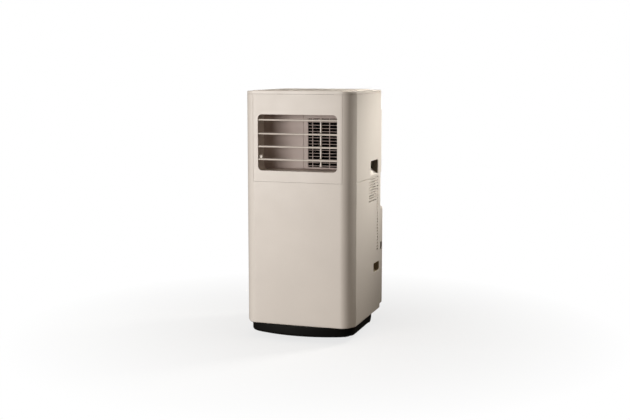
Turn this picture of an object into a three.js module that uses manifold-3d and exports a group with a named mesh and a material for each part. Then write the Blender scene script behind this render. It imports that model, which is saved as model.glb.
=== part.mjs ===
// A portable air conditioner: a free-standing cooling unit on four casters.
// Millimetres, +Z up, the front faces -Y. The origin is on the floor, under the middle of the unit.
// Y is measured from the middle of the top cover, and the last lines set the whole unit over its origin.
import * as THREE from 'three';
import { mergeVertices } from 'three/addons/utils/BufferGeometryUtils.js';
import Module from 'manifold-3d';

const wasm = await Module();
wasm.setup();

// ---- Driving dimensions ----
const HALF_WIDTH = 160;
const TOP_Z = 700;
const FRONT_Y = -158;
const REAR_Y = 150;
const UPPER_COVER_Y = 170;
const LOWER_COVER_Y = 188;
const BASE_FRONT_Y = -170;
const SKIRT_REAR_Y = 146;

const CASING_Z = 44;
const SEAM_Z = 447;
const LID_Z = 690;
const SHOULDER_Z = 697.5;
const CORNER_SEAM_Y = -120;
const FASCIA_HALF = 129.5;

const FRONT_RADIUS = 37;
const REAR_RADIUS = 12;
const FRONT_BOW = 2;
const WALL = 2.5;
const SHEET = 2.2;
const SEAM = 0.5;
const FIT = 0.3;

const OUTLET_HALF = 115;
const OUTLET_LOW = 478;
const OUTLET_HIGH = 634;
const SLEEVE_BACK_Y = -108;
const DUCT_BACK_Y = -20.4;
const THROAT_X = -12;
const THROAT_Y = -66;

const LOUVER_Y = -141;
const LOUVER_Z = [618.6, 580.3, 544.7, 509];
const LINK_X = 57;
const CRANK = 17;

const BLOWER = { x: -48, z: 556, radius: 62, frontY: -20, rearY: 50 };
const EXHAUST_FAN = { z: 228, radius: 80, frontY: -20, rearY: 45, half: 92 };
const EXHAUST_TOP_Z = 437.5;
const PORT = { half: 84, low: 365, high: 431, wall: 2, innerY: 120, outerY: 166 };

const TRAY_Z = 438.5;
const WHEEL_RADIUS = 18;
const TRAIL = 16;
const CASTERS = [[-108, -88], [108, -88], [-124, 104], [124, 104]];

// The hinge along the bottom of the upper rear cover.
const HINGE = { y: 156, z: 454, pin: 2, bore: 2.4, knuckle: 3.5 };
// The two drain holes, one in the rear of the base and one high in the rear wall.
const DRAIN = { bore: 5.4, lowZ: 30, highX: -125, highZ: 398 };
// Feet under the compressor, tall enough for it to stand clear of the caster beside it.
const COMPRESSOR_LIFT = 14;
// Longer than any part, for cutting right through.
const FAR = 200;

// ---- Finishes ----
const FINISH = {
  casing: { color: 0xd6cec4, roughness: 0.38, metalness: 0 },
  lid: { color: 0xd8d1c7, roughness: 0.4, metalness: 0 },
  recess: { color: 0x3a352d, roughness: 0.6, metalness: 0 },
  duct: { color: 0x9a8f86, roughness: 0.5, metalness: 0 },
  louver: { color: 0xcbc3b8, roughness: 0.4, metalness: 0 },
  black: { color: 0x15130f, roughness: 0.5, metalness: 0 },
  glass: { color: 0x0c0e10, roughness: 0.1, metalness: 0 },
  rubber: { color: 0x1c1b1a, roughness: 0.8, metalness: 0 },
  filter: { color: 0x3c4146, roughness: 0.9, metalness: 0 },
  steel: { color: 0x8c9093, roughness: 0.35, metalness: 1 },
  painted: { color: 0x17181a, roughness: 0.45, metalness: 0.3 },
  copper: { color: 0xb87348, roughness: 0.3, metalness: 1 },
  fins: { color: 0xb9bdc0, roughness: 0.4, metalness: 1 },
  inner: { color: 0xb5b8b9, roughness: 0.6, metalness: 0 },
};

// ---- Solids ----

// The closed geometry as a solid that can be joined and cut.
function solid(geometry) {
  const bare = geometry.clone();
  bare.deleteAttribute('normal');
  bare.deleteAttribute('uv');
  const merged = mergeVertices(bare, 1e-4);
  const corners = merged.index.array;
  const faces = [];
  for (let i = 0; i < corners.length; i += 3) {
    const [a, b, c] = corners.slice(i, i + 3);
    if (a !== b && b !== c && c !== a) faces.push(a, b, c);
  }
  return new wasm.Manifold(new wasm.Mesh({
    numProp: 3,
    vertProperties: Float32Array.from(merged.attributes.position.array),
    triVerts: Uint32Array.from(faces),
  }));
}

function join(first, ...others) {
  return others.reduce((body, other) => body.add(other), first);
}

function cut(body, ...tools) {
  return tools.reduce((left, tool) => left.subtract(tool), body);
}

function block(x0, x1, y0, y1, z0, z1) {
  const geometry = new THREE.BoxGeometry(x1 - x0, y1 - y0, z1 - z0);
  return solid(geometry.translate((x0 + x1) / 2, (y0 + y1) / 2, (z0 + z1) / 2));
}

// A plan outline (X, Y) drawn up from z0 to z1.
function prismZ(shape, z0, z1, curveSegments = 3) {
  const geometry = new THREE.ExtrudeGeometry(shape, { depth: z1 - z0, bevelEnabled: false, curveSegments });
  return solid(geometry.translate(0, 0, z0));
}

// A front-view outline (X, Z) drawn back from y0 to y1.
function prismY(shape, y0, y1, curveSegments = 3) {
  const geometry = new THREE.ExtrudeGeometry(shape, { depth: y1 - y0, bevelEnabled: false, curveSegments });
  return solid(geometry.rotateX(Math.PI / 2).translate(0, y1, 0));
}

// A side-view outline (Y, Z) drawn across from x0 to x1.
function prismX(shape, x0, x1, curveSegments = 3) {
  const geometry = new THREE.ExtrudeGeometry(shape, { depth: x1 - x0, bevelEnabled: false, curveSegments });
  const sideways = new THREE.Matrix4().makeBasis(
    new THREE.Vector3(0, 1, 0), new THREE.Vector3(0, 0, 1), new THREE.Vector3(1, 0, 0));
  return solid(geometry.applyMatrix4(sideways).translate(x0, 0, 0));
}

// Round bars along each axis, from one end to the other.
function rodX(radius, x0, x1, y, z, segments = 10) {
  const geometry = new THREE.CylinderGeometry(radius, radius, x1 - x0, segments);
  return solid(geometry.rotateZ(Math.PI / 2).translate((x0 + x1) / 2, y, z));
}

function rodY(radius, y0, y1, x, z, segments = 16) {
  const geometry = new THREE.CylinderGeometry(radius, radius, y1 - y0, segments);
  return solid(geometry.translate(x, (y0 + y1) / 2, z));
}

function rodZ(radius, z0, z1, x, y, segments = 12) {
  const geometry = new THREE.CylinderGeometry(radius, radius, z1 - z0, segments);
  return solid(geometry.rotateX(Math.PI / 2).translate(x, y, (z0 + z1) / 2));
}

// A profile of [radius, height] points turned about the Z axis.
function turned(points, segments = 16) {
  const profile = points.map(([r, z]) => new THREE.Vector2(r, z));
  return solid(new THREE.LatheGeometry(profile, segments).rotateX(Math.PI / 2));
}

// A round tube of solid section along a smooth curve through the points.
function pipe(points, radius, steps, sides = 4) {
  const path = new THREE.CatmullRomCurve3(points.map((p) => new THREE.Vector3(...p)));
  const section = new THREE.Shape().absarc(0, 0, radius, 0, 2 * Math.PI);
  return solid(new THREE.ExtrudeGeometry(section, {
    steps, extrudePath: path, curveSegments: sides, bevelEnabled: false }));
}

function roundedRect(u0, u1, v0, v1, radius) {
  const shape = new THREE.Shape();
  shape.moveTo(u1, v0 + radius);
  shape.lineTo(u1, v1 - radius);
  shape.absarc(u1 - radius, v1 - radius, radius, 0, Math.PI / 2);
  shape.lineTo(u0 + radius, v1);
  shape.absarc(u0 + radius, v1 - radius, radius, Math.PI / 2, Math.PI);
  shape.lineTo(u0, v0 + radius);
  shape.absarc(u0 + radius, v0 + radius, radius, Math.PI, 1.5 * Math.PI);
  shape.lineTo(u1 - radius, v0);
  shape.absarc(u1 - radius, v0 + radius, radius, 1.5 * Math.PI, 2 * Math.PI);
  return shape;
}

function polygon(points) {
  return new THREE.Shape(points.map(([u, v]) => new THREE.Vector2(u, v)));
}

function piece(parent, name, body, finish, x = 0, y = 0, z = 0) {
  const { vertProperties, triVerts } = body.getMesh();
  const geometry = new THREE.BufferGeometry();
  geometry.setAttribute('position', new THREE.BufferAttribute(vertProperties, 3));
  geometry.setIndex(new THREE.BufferAttribute(triVerts, 1));
  geometry.computeVertexNormals();
  const mesh = new THREE.Mesh(geometry, new THREE.MeshStandardMaterial(finish));
  mesh.name = name;
  mesh.position.set(x, y, z);
  parent.add(mesh);
}

// ---- Plan outlines ----

// The casing in plan: a slightly bowed front, wide front corners and small rear corners.
function casingOutline(inset) {
  const x = HALF_WIDTH - inset;
  const rear = REAR_Y - inset;
  const front = FRONT_Y + FRONT_BOW + inset;
  const big = FRONT_RADIUS - inset;
  const small = REAR_RADIUS - inset;
  const shape = new THREE.Shape();
  shape.moveTo(x, front + big);
  shape.lineTo(x, rear - small);
  shape.absarc(x - small, rear - small, small, 0, Math.PI / 2);
  shape.lineTo(small - x, rear);
  shape.absarc(small - x, rear - small, small, Math.PI / 2, Math.PI);
  shape.lineTo(-x, front + big);
  shape.absarc(big - x, front + big, big, Math.PI, 1.5 * Math.PI);
  shape.quadraticCurveTo(0, front - 2 * FRONT_BOW, x - big, front);
  shape.absarc(x - big, front + big, big, 1.5 * Math.PI, 2 * Math.PI);
  return shape;
}

// The base skirt in plan: a broad arc in front of the casing, cut back at its corners.
function skirtOutline() {
  const side = 152;
  const rear = SKIRT_REAR_Y;
  const radius = 12;
  const arcEnd = { x: 116, y: -148 };
  const shape = new THREE.Shape();
  shape.moveTo(side, -96);
  shape.lineTo(side, rear - radius);
  shape.absarc(side - radius, rear - radius, radius, 0, Math.PI / 2);
  shape.lineTo(radius - side, rear);
  shape.absarc(radius - side, rear - radius, radius, Math.PI / 2, Math.PI);
  shape.lineTo(-side, -96);
  shape.quadraticCurveTo(-side, -134, -arcEnd.x, arcEnd.y);
  shape.quadraticCurveTo(0, 2 * BASE_FRONT_Y - arcEnd.y, arcEnd.x, arcEnd.y);
  shape.quadraticCurveTo(side, -134, side, -96);
  return shape;
}

function casingRing(z0, z1) {
  return cut(prismZ(casingOutline(0), z0, z1, 4), prismZ(casingOutline(WALL), z0 - 1, z1 + 1, 4));
}

// ---- Base and casters ----

const BASE_Z = 16;
const BASE_FLOOR = 20;
const BAY_Z = 41;
const DECK_Z = 45;
const BASE_RIM_Z = 62;
const BAY_HALF = 38;

function buildBase(unit) {
  const skirt = prismZ(skirtOutline(), BASE_Z, CASING_Z - FIT, 6);
  const rim = prismZ(casingOutline(WALL + SEAM), CASING_Z - 1, BASE_RIM_Z);
  const sockets = CASTERS.map(([x, y]) => rodZ(9, DECK_Z - 2, DECK_Z + 13, x, y));
  const shell = cut(
    join(skirt, rim),
    prismZ(casingOutline(WALL + SEAM + WALL), DECK_Z, BASE_RIM_Z + 1),
    block(-62, 62, -20, 138, BASE_FLOOR, DECK_Z + 1),
    block(-146, 146, -20, 54, BASE_FLOOR, DECK_Z + 1),
    block(-66, 66, -136, -24, BASE_Z - 1, BAY_Z),
    block(84, HALF_WIDTH, 62, REAR_Y, BASE_Z - 1, BAY_Z),
    block(-HALF_WIDTH, -84, 62, REAR_Y, BASE_Z - 1, BAY_Z),
    rodY(DRAIN.bore, 130, REAR_Y, 0, DRAIN.lowZ),
    ...CASTERS.slice(0, 2).map(([x, y]) => (
      block(x - BAY_HALF, x + BAY_HALF, y - BAY_HALF, y + BAY_HALF, BASE_Z - 1, BAY_Z))),
  );
  const stemHoles = CASTERS.map(([x, y]) => rodZ(4.3, BAY_Z - 5, DECK_Z + 10, x, y));
  piece(unit, 'base_pan', cut(join(shell, ...sockets), ...stemHoles), FINISH.black);

  const cap = join(rodY(9, 0, 2.6, 0, 0), rodY(5, -7, 0.5, 0, 0), block(-6, 6, 2, 7, -1.2, 1.2));
  piece(unit, 'drain_cap_lower', cap, FINISH.rubber, 0, SKIRT_REAR_Y + FIT, DRAIN.lowZ);
  piece(unit, 'drain_cap_upper', cap, FINISH.rubber, DRAIN.highX, REAR_Y + FIT, DRAIN.highZ);
}

// A swivel caster: its fork turns on a vertical stem, and its wheel trails behind on an axle.
function buildCasters(unit) {
  const halfTread = 11;
  const cheek = halfTread + 0.6;
  const fork = join(
    rodZ(4, 39, 54, 0, 0),
    block(-cheek - 2, cheek + 2, -10, TRAIL + 9, 37.6, 40.2),
    block(cheek, cheek + 2, 7, TRAIL + 7, WHEEL_RADIUS - 5, 38),
    block(-cheek - 2, -cheek, 7, TRAIL + 7, WHEEL_RADIUS - 5, 38),
    rodX(3, -cheek - 2, cheek + 2, TRAIL, WHEEL_RADIUS),
  );
  const tread = WHEEL_RADIUS;
  const profile = [[3.3, -halfTread], [tread - 3, -halfTread], [tread, -halfTread + 3],
    [tread, halfTread - 3], [tread - 3, halfTread], [3.3, halfTread], [3.3, -halfTread]];
  const points = profile.map(([r, x]) => new THREE.Vector2(r, x));
  const wheel = solid(new THREE.LatheGeometry(points, 20).rotateZ(-Math.PI / 2));
  CASTERS.forEach(([x, y], i) => {
    piece(unit, `caster_fork_${i + 1}`, fork, FINISH.black, x, y, 0);
    piece(unit, `caster_wheel_${i + 1}`, wheel, FINISH.rubber, x, y + TRAIL, WHEEL_RADIUS);
  });
}

// ---- Casing ----

const HANDLE = { front: 27, rear: 110, low: 453.5, high: 496, depth: 137 };
const GLAND = { front: 66, rear: 128, low: 163, high: 191, depth: 142 };
const LOWER_WINDOW = roundedRect(-144, 144, 62, 336, 6);
const UPPER_WINDOW = roundedRect(-142, 142, 462, 628, 6);

// Rows of horizontal vent slots through both side walls.
function sideSlots(y0, y1, lowZ, highZ, pitch, height) {
  const slots = [];
  for (let z = lowZ; z + height <= highZ; z += pitch) {
    slots.push(block(HALF_WIDTH - 5, HALF_WIDTH + 5, y0, y1, z, z + height));
    slots.push(block(-HALF_WIDTH - 5, 5 - HALF_WIDTH, y0, y1, z, z + height));
  }
  return slots;
}

function buildCasing(unit) {
  const front = casingRing(CASING_Z, LID_Z - SEAM);
  const behindSeam = block(-FAR, FAR, CORNER_SEAM_Y - SEAM, FAR, 0, TOP_Z);
  const fasciaBay = block(-FASCIA_HALF, FASCIA_HALF, -FAR, -145, SEAM_Z, TOP_Z);
  const shelf = block(3 - FASCIA_HALF, FASCIA_HALF - 3, FRONT_Y + 4, FRONT_Y + 12, SEAM_Z - 10, SEAM_Z - 3);
  piece(unit, 'front_casing', join(cut(front, behindSeam, fasciaBay), shelf), FINISH.casing);

  const beforeSeam = block(-FAR, FAR, -FAR, CORNER_SEAM_Y, 0, TOP_Z);
  const handleHole = prismX(roundedRect(HANDLE.front, HANDLE.rear, HANDLE.low, HANDLE.high, 6), -FAR, FAR);
  const upper = cut(casingRing(SEAM_Z + SEAM, LID_Z - SEAM), beforeSeam, handleHole,
    prismY(UPPER_WINDOW, 140, 160));
  // Two knuckles stand out of the rear wall and carry the cover's pins.
  const knuckles = [[138, 144], [-144, -138]].map(([x0, x1]) => join(
    rodX(HINGE.knuckle, x0, x1, HINGE.y, HINGE.z, 16),
    block(x0, x1, REAR_Y - 2, HINGE.y, HINGE.z - 0.4, HINGE.z + HINGE.knuckle - 0.1)));
  const bore = rodX(HINGE.bore, -FAR, FAR, HINGE.y, HINGE.z);
  piece(unit, 'rear_casing_upper', cut(join(upper, ...knuckles), bore), FINISH.casing);

  const glandHole = prismX(roundedRect(GLAND.front, GLAND.rear, GLAND.low, GLAND.high, 5), 100, FAR);
  const portHole = block(-PORT.half - PORT.wall - FIT, PORT.half + PORT.wall + FIT, 140, 160,
    PORT.low - PORT.wall - FIT, PORT.high + PORT.wall + FIT);
  const lower = cut(casingRing(CASING_Z, SEAM_Z), beforeSeam, glandHole, portHole,
    prismY(LOWER_WINDOW, 140, 160),
    rodY(DRAIN.bore, 140, 160, DRAIN.highX, DRAIN.highZ),
    ...sideSlots(12, 91, 378, 446, 15.5, 5),
    ...sideSlots(99, 113, 226, 446, 28, 8));
  piece(unit, 'rear_casing_lower', lower, FINISH.casing);
}

// The scooped hand grips: a cup behind each side wall with a slanted floor and room for the fingertips.
function buildHandles(unit) {
  const back = HANDLE.depth;
  const face = HALF_WIDTH - WALL - FIT;
  const outer = block(back - 2.5, face, HANDLE.front - 2.5, HANDLE.rear + 2.5, 451, 509);
  const scoop = polygon([[face + 1, HANDLE.low], [back + 5, 467], [back, 473], [back, 506.5],
    [face - 8, 506.5], [face - 5, HANDLE.high], [face + 1, HANDLE.high]]);
  const right = cut(outer, prismY(scoop, HANDLE.front, HANDLE.rear));
  piece(unit, 'handle_cup_right', right, FINISH.recess);
  piece(unit, 'handle_cup_left', right.mirror([1, 0, 0]), FINISH.recess);
}

function buildCordInlet(unit) {
  const face = HALF_WIDTH - WALL - FIT;
  const [midY, midZ] = [(GLAND.front + GLAND.rear) / 2, (GLAND.low + GLAND.high) / 2];
  const outer = prismX(roundedRect(GLAND.front - 2, GLAND.rear + 2, GLAND.low - 2, GLAND.high + 2, 7),
    GLAND.depth - 2, face);
  const inner = prismX(roundedRect(GLAND.front, GLAND.rear, GLAND.low, GLAND.high, 5), GLAND.depth, face + 1);
  piece(unit, 'cord_recess', cut(outer, inner, rodX(6.3, 130, 150, midY, midZ)), FINISH.recess);
  const gland = cut(join(rodX(6, 0, 9, 0, 0, 16), rodX(8.5, 4.3, 7, 0, 0, 16)), rodX(3.6, -1, 10, 0, 0, 16));
  piece(unit, 'cord_gland', gland, FINISH.rubber, GLAND.depth - 4, midY, midZ);
}

// ---- Top cover and controls ----

const PANEL = { half: 80, front: -112, rear: -56, ledge: 693, top: 698.5, bottom: 680 };
const BUTTON_X = [-70, -56, -42, 42, 56, 70];
const BUTTON_Y = -84;

function buildTop(unit) {
  const raised = prismZ(casingOutline(0), LID_Z, TOP_Z, 4)
    .intersect(block(-FASCIA_HALF, FASCIA_HALF, -FAR, 120, 0, TOP_Z));
  const lid = cut(
    join(prismZ(casingOutline(0), LID_Z, SHOULDER_Z, 4), raised),
    block(-150, 150, -50, 138, LID_Z - 1, SHOULDER_Z - WALL),
    block(-PANEL.half, PANEL.half, PANEL.front, PANEL.rear, PANEL.ledge, TOP_Z + 1),
    block(-PANEL.half + 3, PANEL.half - 3, PANEL.front + 3, PANEL.rear - 3, LID_Z - 1, TOP_Z + 1),
    block(HALF_WIDTH - 2, HALF_WIDTH + 1, 6, 128, LID_Z + 1.5, LID_Z + 4.5),
    block(-HALF_WIDTH - 1, 2 - HALF_WIDTH, 6, 128, LID_Z + 1.5, LID_Z + 4.5),
  );
  piece(unit, 'top_cover', lid, FINISH.lid);

  const plate = block(-PANEL.half + SEAM, PANEL.half - SEAM, PANEL.front + SEAM, PANEL.rear - SEAM,
    PANEL.ledge + FIT, PANEL.top);
  const walls = block(-PANEL.half + 4, PANEL.half - 4, PANEL.front + 4, PANEL.rear - 4,
    PANEL.bottom, PANEL.ledge + 1);
  const inside = block(-PANEL.half + 6, PANEL.half - 6, PANEL.front + 6, PANEL.rear - 6,
    PANEL.bottom - 1, PANEL.ledge + 1.2);
  const holes = BUTTON_X.flatMap((x) => [
    rodZ(6.4, 695, TOP_Z, x, BUTTON_Y), rodZ(4, 690, TOP_Z, x, BUTTON_Y, 16)]);
  const displayPocket = block(-30, 30, -98, -70, 696.2, TOP_Z);
  piece(unit, 'control_panel', cut(join(plate, walls), inside, displayPocket, ...holes), FINISH.black);
  piece(unit, 'display_window', block(-30 + FIT, 30 - FIT, -98 + FIT, -70 - FIT, 696.2 + FIT, 699),
    FINISH.glass);

  const names = ['power', 'mode', 'fan', 'timer', 'up', 'down'];
  const button = join(turned([[0, 0], [6, 0], [6, 2.8], [5.2, 3.6], [0, 3.6]]), rodZ(3.6, -5, 0.5, 0, 0, 16));
  names.forEach((name, i) => piece(unit, `button_${name}`, button, FINISH.lid, BUTTON_X[i], BUTTON_Y, 696));
}

// ---- Air outlet ----

function buildFascia(unit) {
  const width = FASCIA_HALF - SEAM;
  const panel = casingRing(SEAM_Z + SEAM, LID_Z - SEAM)
    .intersect(block(-width, width, -FAR, -150, 0, TOP_Z));
  const sleeve = prismY(roundedRect(-OUTLET_HALF - WALL, OUTLET_HALF + WALL, OUTLET_LOW - WALL,
    OUTLET_HIGH + WALL, 14), FRONT_Y + 1.5, SLEEVE_BACK_Y);
  const mouth = prismY(roundedRect(-OUTLET_HALF, OUTLET_HALF, OUTLET_LOW, OUTLET_HIGH, 12), -170, -100);
  const pivots = LOUVER_Z.map((z) => rodX(2.3, -125, 125, LOUVER_Y, z));
  piece(unit, 'outlet_fascia', cut(join(panel, sleeve), mouth, ...pivots), FINISH.casing);
}

// Four blades on end pins, each with a crank lug behind it, and the upright link that joins their cranks.
function buildLouvers(unit) {
  const section = new THREE.Shape();
  section.moveTo(-11.5, -2.5);
  section.absarc(-11.5, 0, 2.5, -0.5 * Math.PI, -1.5 * Math.PI, true);
  section.lineTo(11.5, 1);
  section.lineTo(11.5, -1);
  const half = OUTLET_HALF - 1.2;
  const blade = join(
    prismX(section, -half, half),
    rodX(2, -OUTLET_HALF - 1.8, OUTLET_HALF + 1.8, 0, 0),
    block(LINK_X - 3, LINK_X - 1, 8, CRANK + 3, -2.8, 2.8),
    rodX(1.4, LINK_X - 2, LINK_X + 4, CRANK, 0),
  );
  const tab = block(-half, -half + 9, -8, 4, 1, 12);
  LOUVER_Z.forEach((z, i) => {
    const last = i === LOUVER_Z.length - 1;
    piece(unit, `louver_${i + 1}`, last ? join(blade, tab) : blade, FINISH.louver, 0, LOUVER_Y, z);
  });

  const crankY = LOUVER_Y + CRANK;
  const low = LOUVER_Z[3] - 19;
  const bar = block(LINK_X, LINK_X + 3, crankY - 3, crankY + 4, low, LOUVER_Z[0] + 5);
  const foot = block(LINK_X - 1, LINK_X + 4, crankY - 4, crankY + 5, low, low + 4);
  const holes = LOUVER_Z.map((z) => rodX(1.9, LINK_X - 5, LINK_X + 8, crankY, z));
  piece(unit, 'louver_link', cut(join(bar, foot), ...holes), FINISH.louver);
}

// The duct behind the louvers: a curved wall on the left sweeps the air in from the throat on the right.
function ductPlan(grow, frontY, backY) {
  const right = OUTLET_HALF + grow;
  const throat = THROAT_X - grow;
  const reachX = THROAT_X + OUTLET_HALF + grow;
  const reachY = THROAT_Y - (SLEEVE_BACK_Y + SEAM) + grow;
  const start = Math.acos(-grow / reachX);
  const shape = new THREE.Shape();
  shape.moveTo(right, frontY);
  shape.lineTo(right, backY);
  shape.lineTo(throat, backY);
  shape.absellipse(THROAT_X, SLEEVE_BACK_Y + SEAM, reachX, reachY, start, Math.PI);
  shape.lineTo(-OUTLET_HALF - grow, frontY);
  return shape;
}

function buildDuct(unit) {
  const frontY = SLEEVE_BACK_Y + SEAM;
  const outer = prismZ(ductPlan(SHEET, frontY, DUCT_BACK_Y), OUTLET_LOW - SHEET, OUTLET_HIGH + SHEET, 6);
  const inner = prismZ(ductPlan(0, frontY - 1, DUCT_BACK_Y + 1), OUTLET_LOW, OUTLET_HIGH, 6);
  piece(unit, 'outlet_duct', cut(outer, inner), FINISH.duct);

  const [left, right] = [THROAT_X + FIT, OUTLET_HALF - FIT];
  const [low, high] = [OUTLET_LOW + FIT, OUTLET_HIGH - FIT];
  const [y0, y1] = [THROAT_Y + 1, THROAT_Y + 4];
  const frame = cut(
    block(left, right, y0, y1, low, high),
    block(left + 2, right - 2, y0 - 1, y1 + 1, low + 2, high - 2));
  const ribs = [15, 65].map((x) => block(x - 0.8, x + 0.8, y0 + 1, y1, low + 1, high - 1));
  const wires = [];
  for (let z = low + 8; z < high - 4; z += 18) {
    wires.push(block(left + 1, right - 1, y0, y1 - 1.2, z, z + 1.6));
  }
  piece(unit, 'outlet_grille', join(frame, ...ribs, ...wires), FINISH.black);
}

// ---- Rear covers ----

// A shallow rear cover: a dished frame filled with level slats and upright ribs.
function slattedCover(low, high, rearY) {
  const half = 155;
  const frontY = REAR_Y + 0.4;
  const shell = cut(
    prismY(roundedRect(-half, half, low, high, 8), frontY, rearY),
    prismY(roundedRect(-half + SHEET, half - SHEET, low + SHEET, high - SHEET, 6), frontY - 1, rearY - WALL),
    prismY(roundedRect(-half + 14, half - 14, low + 14, high - 14, 5), frontY, rearY + 1),
  );
  const slats = [];
  for (let z = low + 20; z < high - 16; z += 32) {
    slats.push(block(-half + 13, half - 13, rearY - 8, rearY - 1, z, z + 7));
  }
  const ribs = [-48, 48].map((x) => block(x - 2, x + 2, rearY - WALL, rearY - 0.5, low + 13, high - 13));
  return join(shell, ...slats, ...ribs);
}

function buildRear(unit) {
  const [low, high] = [SEAM_Z + 1, 643];
  const pins = [[136, 154], [-154, -136]].map(([x0, x1]) => rodX(HINGE.pin, x0, x1, HINGE.y, HINGE.z));
  const clearance = block(-156, 156, REAR_Y, HINGE.y, low - 1, HINGE.z);
  const swing = join(cut(slattedCover(low, high, UPPER_COVER_Y), clearance), ...pins);
  piece(unit, 'upper_intake_cover', swing, FINISH.casing);

  const filterFrame = cut(block(-141, 141, 153, 157, 464, 628), block(-137, 137, 152, 158, 468, 624));
  const mesh = block(-138, 138, 154.6, 155.4, 467, 625);
  const bars = [-46, 46].map((x) => block(x - 1, x + 1, 153.6, 156.4, 466, 626));
  const rails = [519, 573].map((z) => block(-139, 139, 153.6, 156.4, z - 1, z + 1));
  piece(unit, 'upper_filter', join(filterFrame, mesh, ...bars, ...rails), FINISH.filter);

  // The fixed lower cover has a finger notch in each side.
  const notches = [[150, 157], [-157, -150]].map(([x0, x1]) => block(x0, x1, 162, 180, 218, 241));
  const lower = cut(slattedCover(48, 349, LOWER_COVER_Y), ...notches);
  piece(unit, 'lower_intake_cover', lower, FINISH.casing);

  const sleeve = roundedRect(-PORT.half - PORT.wall, PORT.half + PORT.wall, PORT.low - PORT.wall,
    PORT.high + PORT.wall, 3);
  const flange = roundedRect(-PORT.half - 9, PORT.half + 9, PORT.low - 9, PORT.high + 9, 6);
  const hole = block(-PORT.half, PORT.half, 0, FAR, PORT.low, PORT.high);
  const port = cut(
    join(prismY(sleeve, PORT.innerY, PORT.outerY), prismY(flange, REAR_Y + FIT, REAR_Y + 3.3)), hole);
  piece(unit, 'exhaust_port', port, FINISH.casing);

  const [x, z0, z1] = [PORT.half - FIT, PORT.low + FIT, PORT.high - FIT];
  const frame = cut(
    block(-x, x, 130, 134, z0, z1),
    block(-x + 2.5, x - 2.5, 129, 135, z0 + 2.5, z1 - 2.5));
  const uprights = [-28, 28].map((u) => block(u - 1, u + 1, 131, 134, z0 + 1, z1 - 1));
  const levels = [378, 391, 404, 417].map((z) => block(-x + 1, x - 1, 130, 132, z - 1, z + 1));
  piece(unit, 'exhaust_grille', join(frame, ...uprights, ...levels), FINISH.black);
}

// ---- Refrigeration circuit ----

// A finned coil between two end plates, which stand on feet, with return bends at its left end.
function coil(half, y0, y1, low, high, footZ) {
  const finned = block(-half, half, y0, y1, low, high);
  const grooves = [];
  for (let x = -half + 12; x < half - 8; x += 22) {
    grooves.push(block(x, x + 6, y0 - 1, y0 + 5, low - 1, high + 1));
  }
  const plates = [-half, half - 2].map((x) => block(x, x + 2, y0 - 1.5, y1 + 1.5, footZ, high + 2));
  const bends = [];
  const midY = (y0 + y1) / 2;
  for (let z = low + 16; z < high - 24; z += 48) {
    const arc = [0, 1, 2, 3, 4].map((i) => {
      const turn = (i * Math.PI) / 4;
      return [-half - 9 * Math.sin(turn) + 1, midY, z + 8 - 8 * Math.cos(turn)];
    });
    bends.push(pipe(arc, 3.5, 6, 3));
  }
  return join(cut(finned, ...grooves), ...plates, ...bends);
}

function buildCoolingCircuit(unit) {
  piece(unit, 'condenser_coil', coil(128, 96, 128, 66, 330, DECK_Z + 13 + FIT), FINISH.fins);
  piece(unit, 'evaporator_coil', coil(118, 72, 104, 462, 634, TRAY_Z + 2.5 + FIT), FINISH.fins);

  const body = turned([[0, 0], [36, 2], [47, 10], [50, 20], [50, 178], [46, 192], [30, 202], [0, 206]], 20);
  const cavity = turned(
    [[0, 10], [30, 12], [40, 20], [42, 30], [42, 172], [38, 184], [24, 193], [0, 197]], 12);
  const foot = prismZ(polygon([[-54, -30], [54, -30], [0, 58]]), 3, 7);
  const feet = [[-46, -25], [46, -25], [0, 50]].map(([x, y]) => rodZ(6, -COMPRESSOR_LIFT, 8, x, y, 10));
  const compressor = cut(join(body, foot, ...feet), cavity, rodZ(4, 190, 210, 0, 0, 12));
  piece(unit, 'compressor', compressor, FINISH.painted, -92, -82, DECK_Z + FIT + COMPRESSOR_LIFT);

  const can = turned([[0, 0], [14, 2], [22, 12], [22, 118], [14, 130], [0, 132]], 16);
  const canInside = turned([[0, 3], [12, 5], [19, 14], [19, 116], [12, 126], [0, 128]], 12);
  const bracket = block(-30, -20, -6, 6, 55, 65);
  piece(unit, 'accumulator', cut(join(can, bracket), canInside, rodZ(3, 120, 140, 0, 0, 12)),
    FINISH.painted, -12, -118, 84);

  const discharge = [[-92, -82, 266], [-92, -82, 288], [-104, -70, 306], [-122, -44, 314], [-126, 0, 314],
    [-126, 50, 312], [-116, 82, 306], [-114, 95, 304]];
  piece(unit, 'discharge_pipe', pipe(discharge, 4, 20), FINISH.copper);
  const suction = [[-12, -118, 216.6], [-12, -118, 250], [-30, -116, 320], [-90, -104, 380], [-127, -72, 416],
    [-130, -66, 450], [-130, -60, 490], [-130, -30, 520], [-130, 20, 530], [-128, 48, 530], [-112, 60, 530],
    [-108, 70.2, 530]];
  piece(unit, 'suction_pipe', pipe(suction, 5, 32), FINISH.copper);
}

// ---- Air movers ----

// A drum fan: a back disc, a front ring and a circle of blades between them, about the Y axis.
function drumFan(radius, length, blades) {
  const disc = rodY(radius, 0, 2, 0, 0, 24);
  const ring = cut(
    rodY(radius, length - 2, length, 0, 0, 24),
    rodY(radius - 9, length - 3, length + 1, 0, 0, 24));
  const hub = cut(rodY(10, 0, 14, 0, 0, 16), rodY(3.4, -1, 11, 0, 0, 12));
  const vanes = [];
  for (let i = 0; i < blades; i += 1) {
    const geometry = new THREE.BoxGeometry(8, length - 2, 1.4);
    geometry.rotateY(0.6).translate(radius - 5, length / 2, 0).rotateY((2 * Math.PI * i) / blades);
    vanes.push(solid(geometry));
  }
  return cut(join(disc, ring, hub, ...vanes), rodY(3.4, -1, 11, 0, 0, 12));
}

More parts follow.
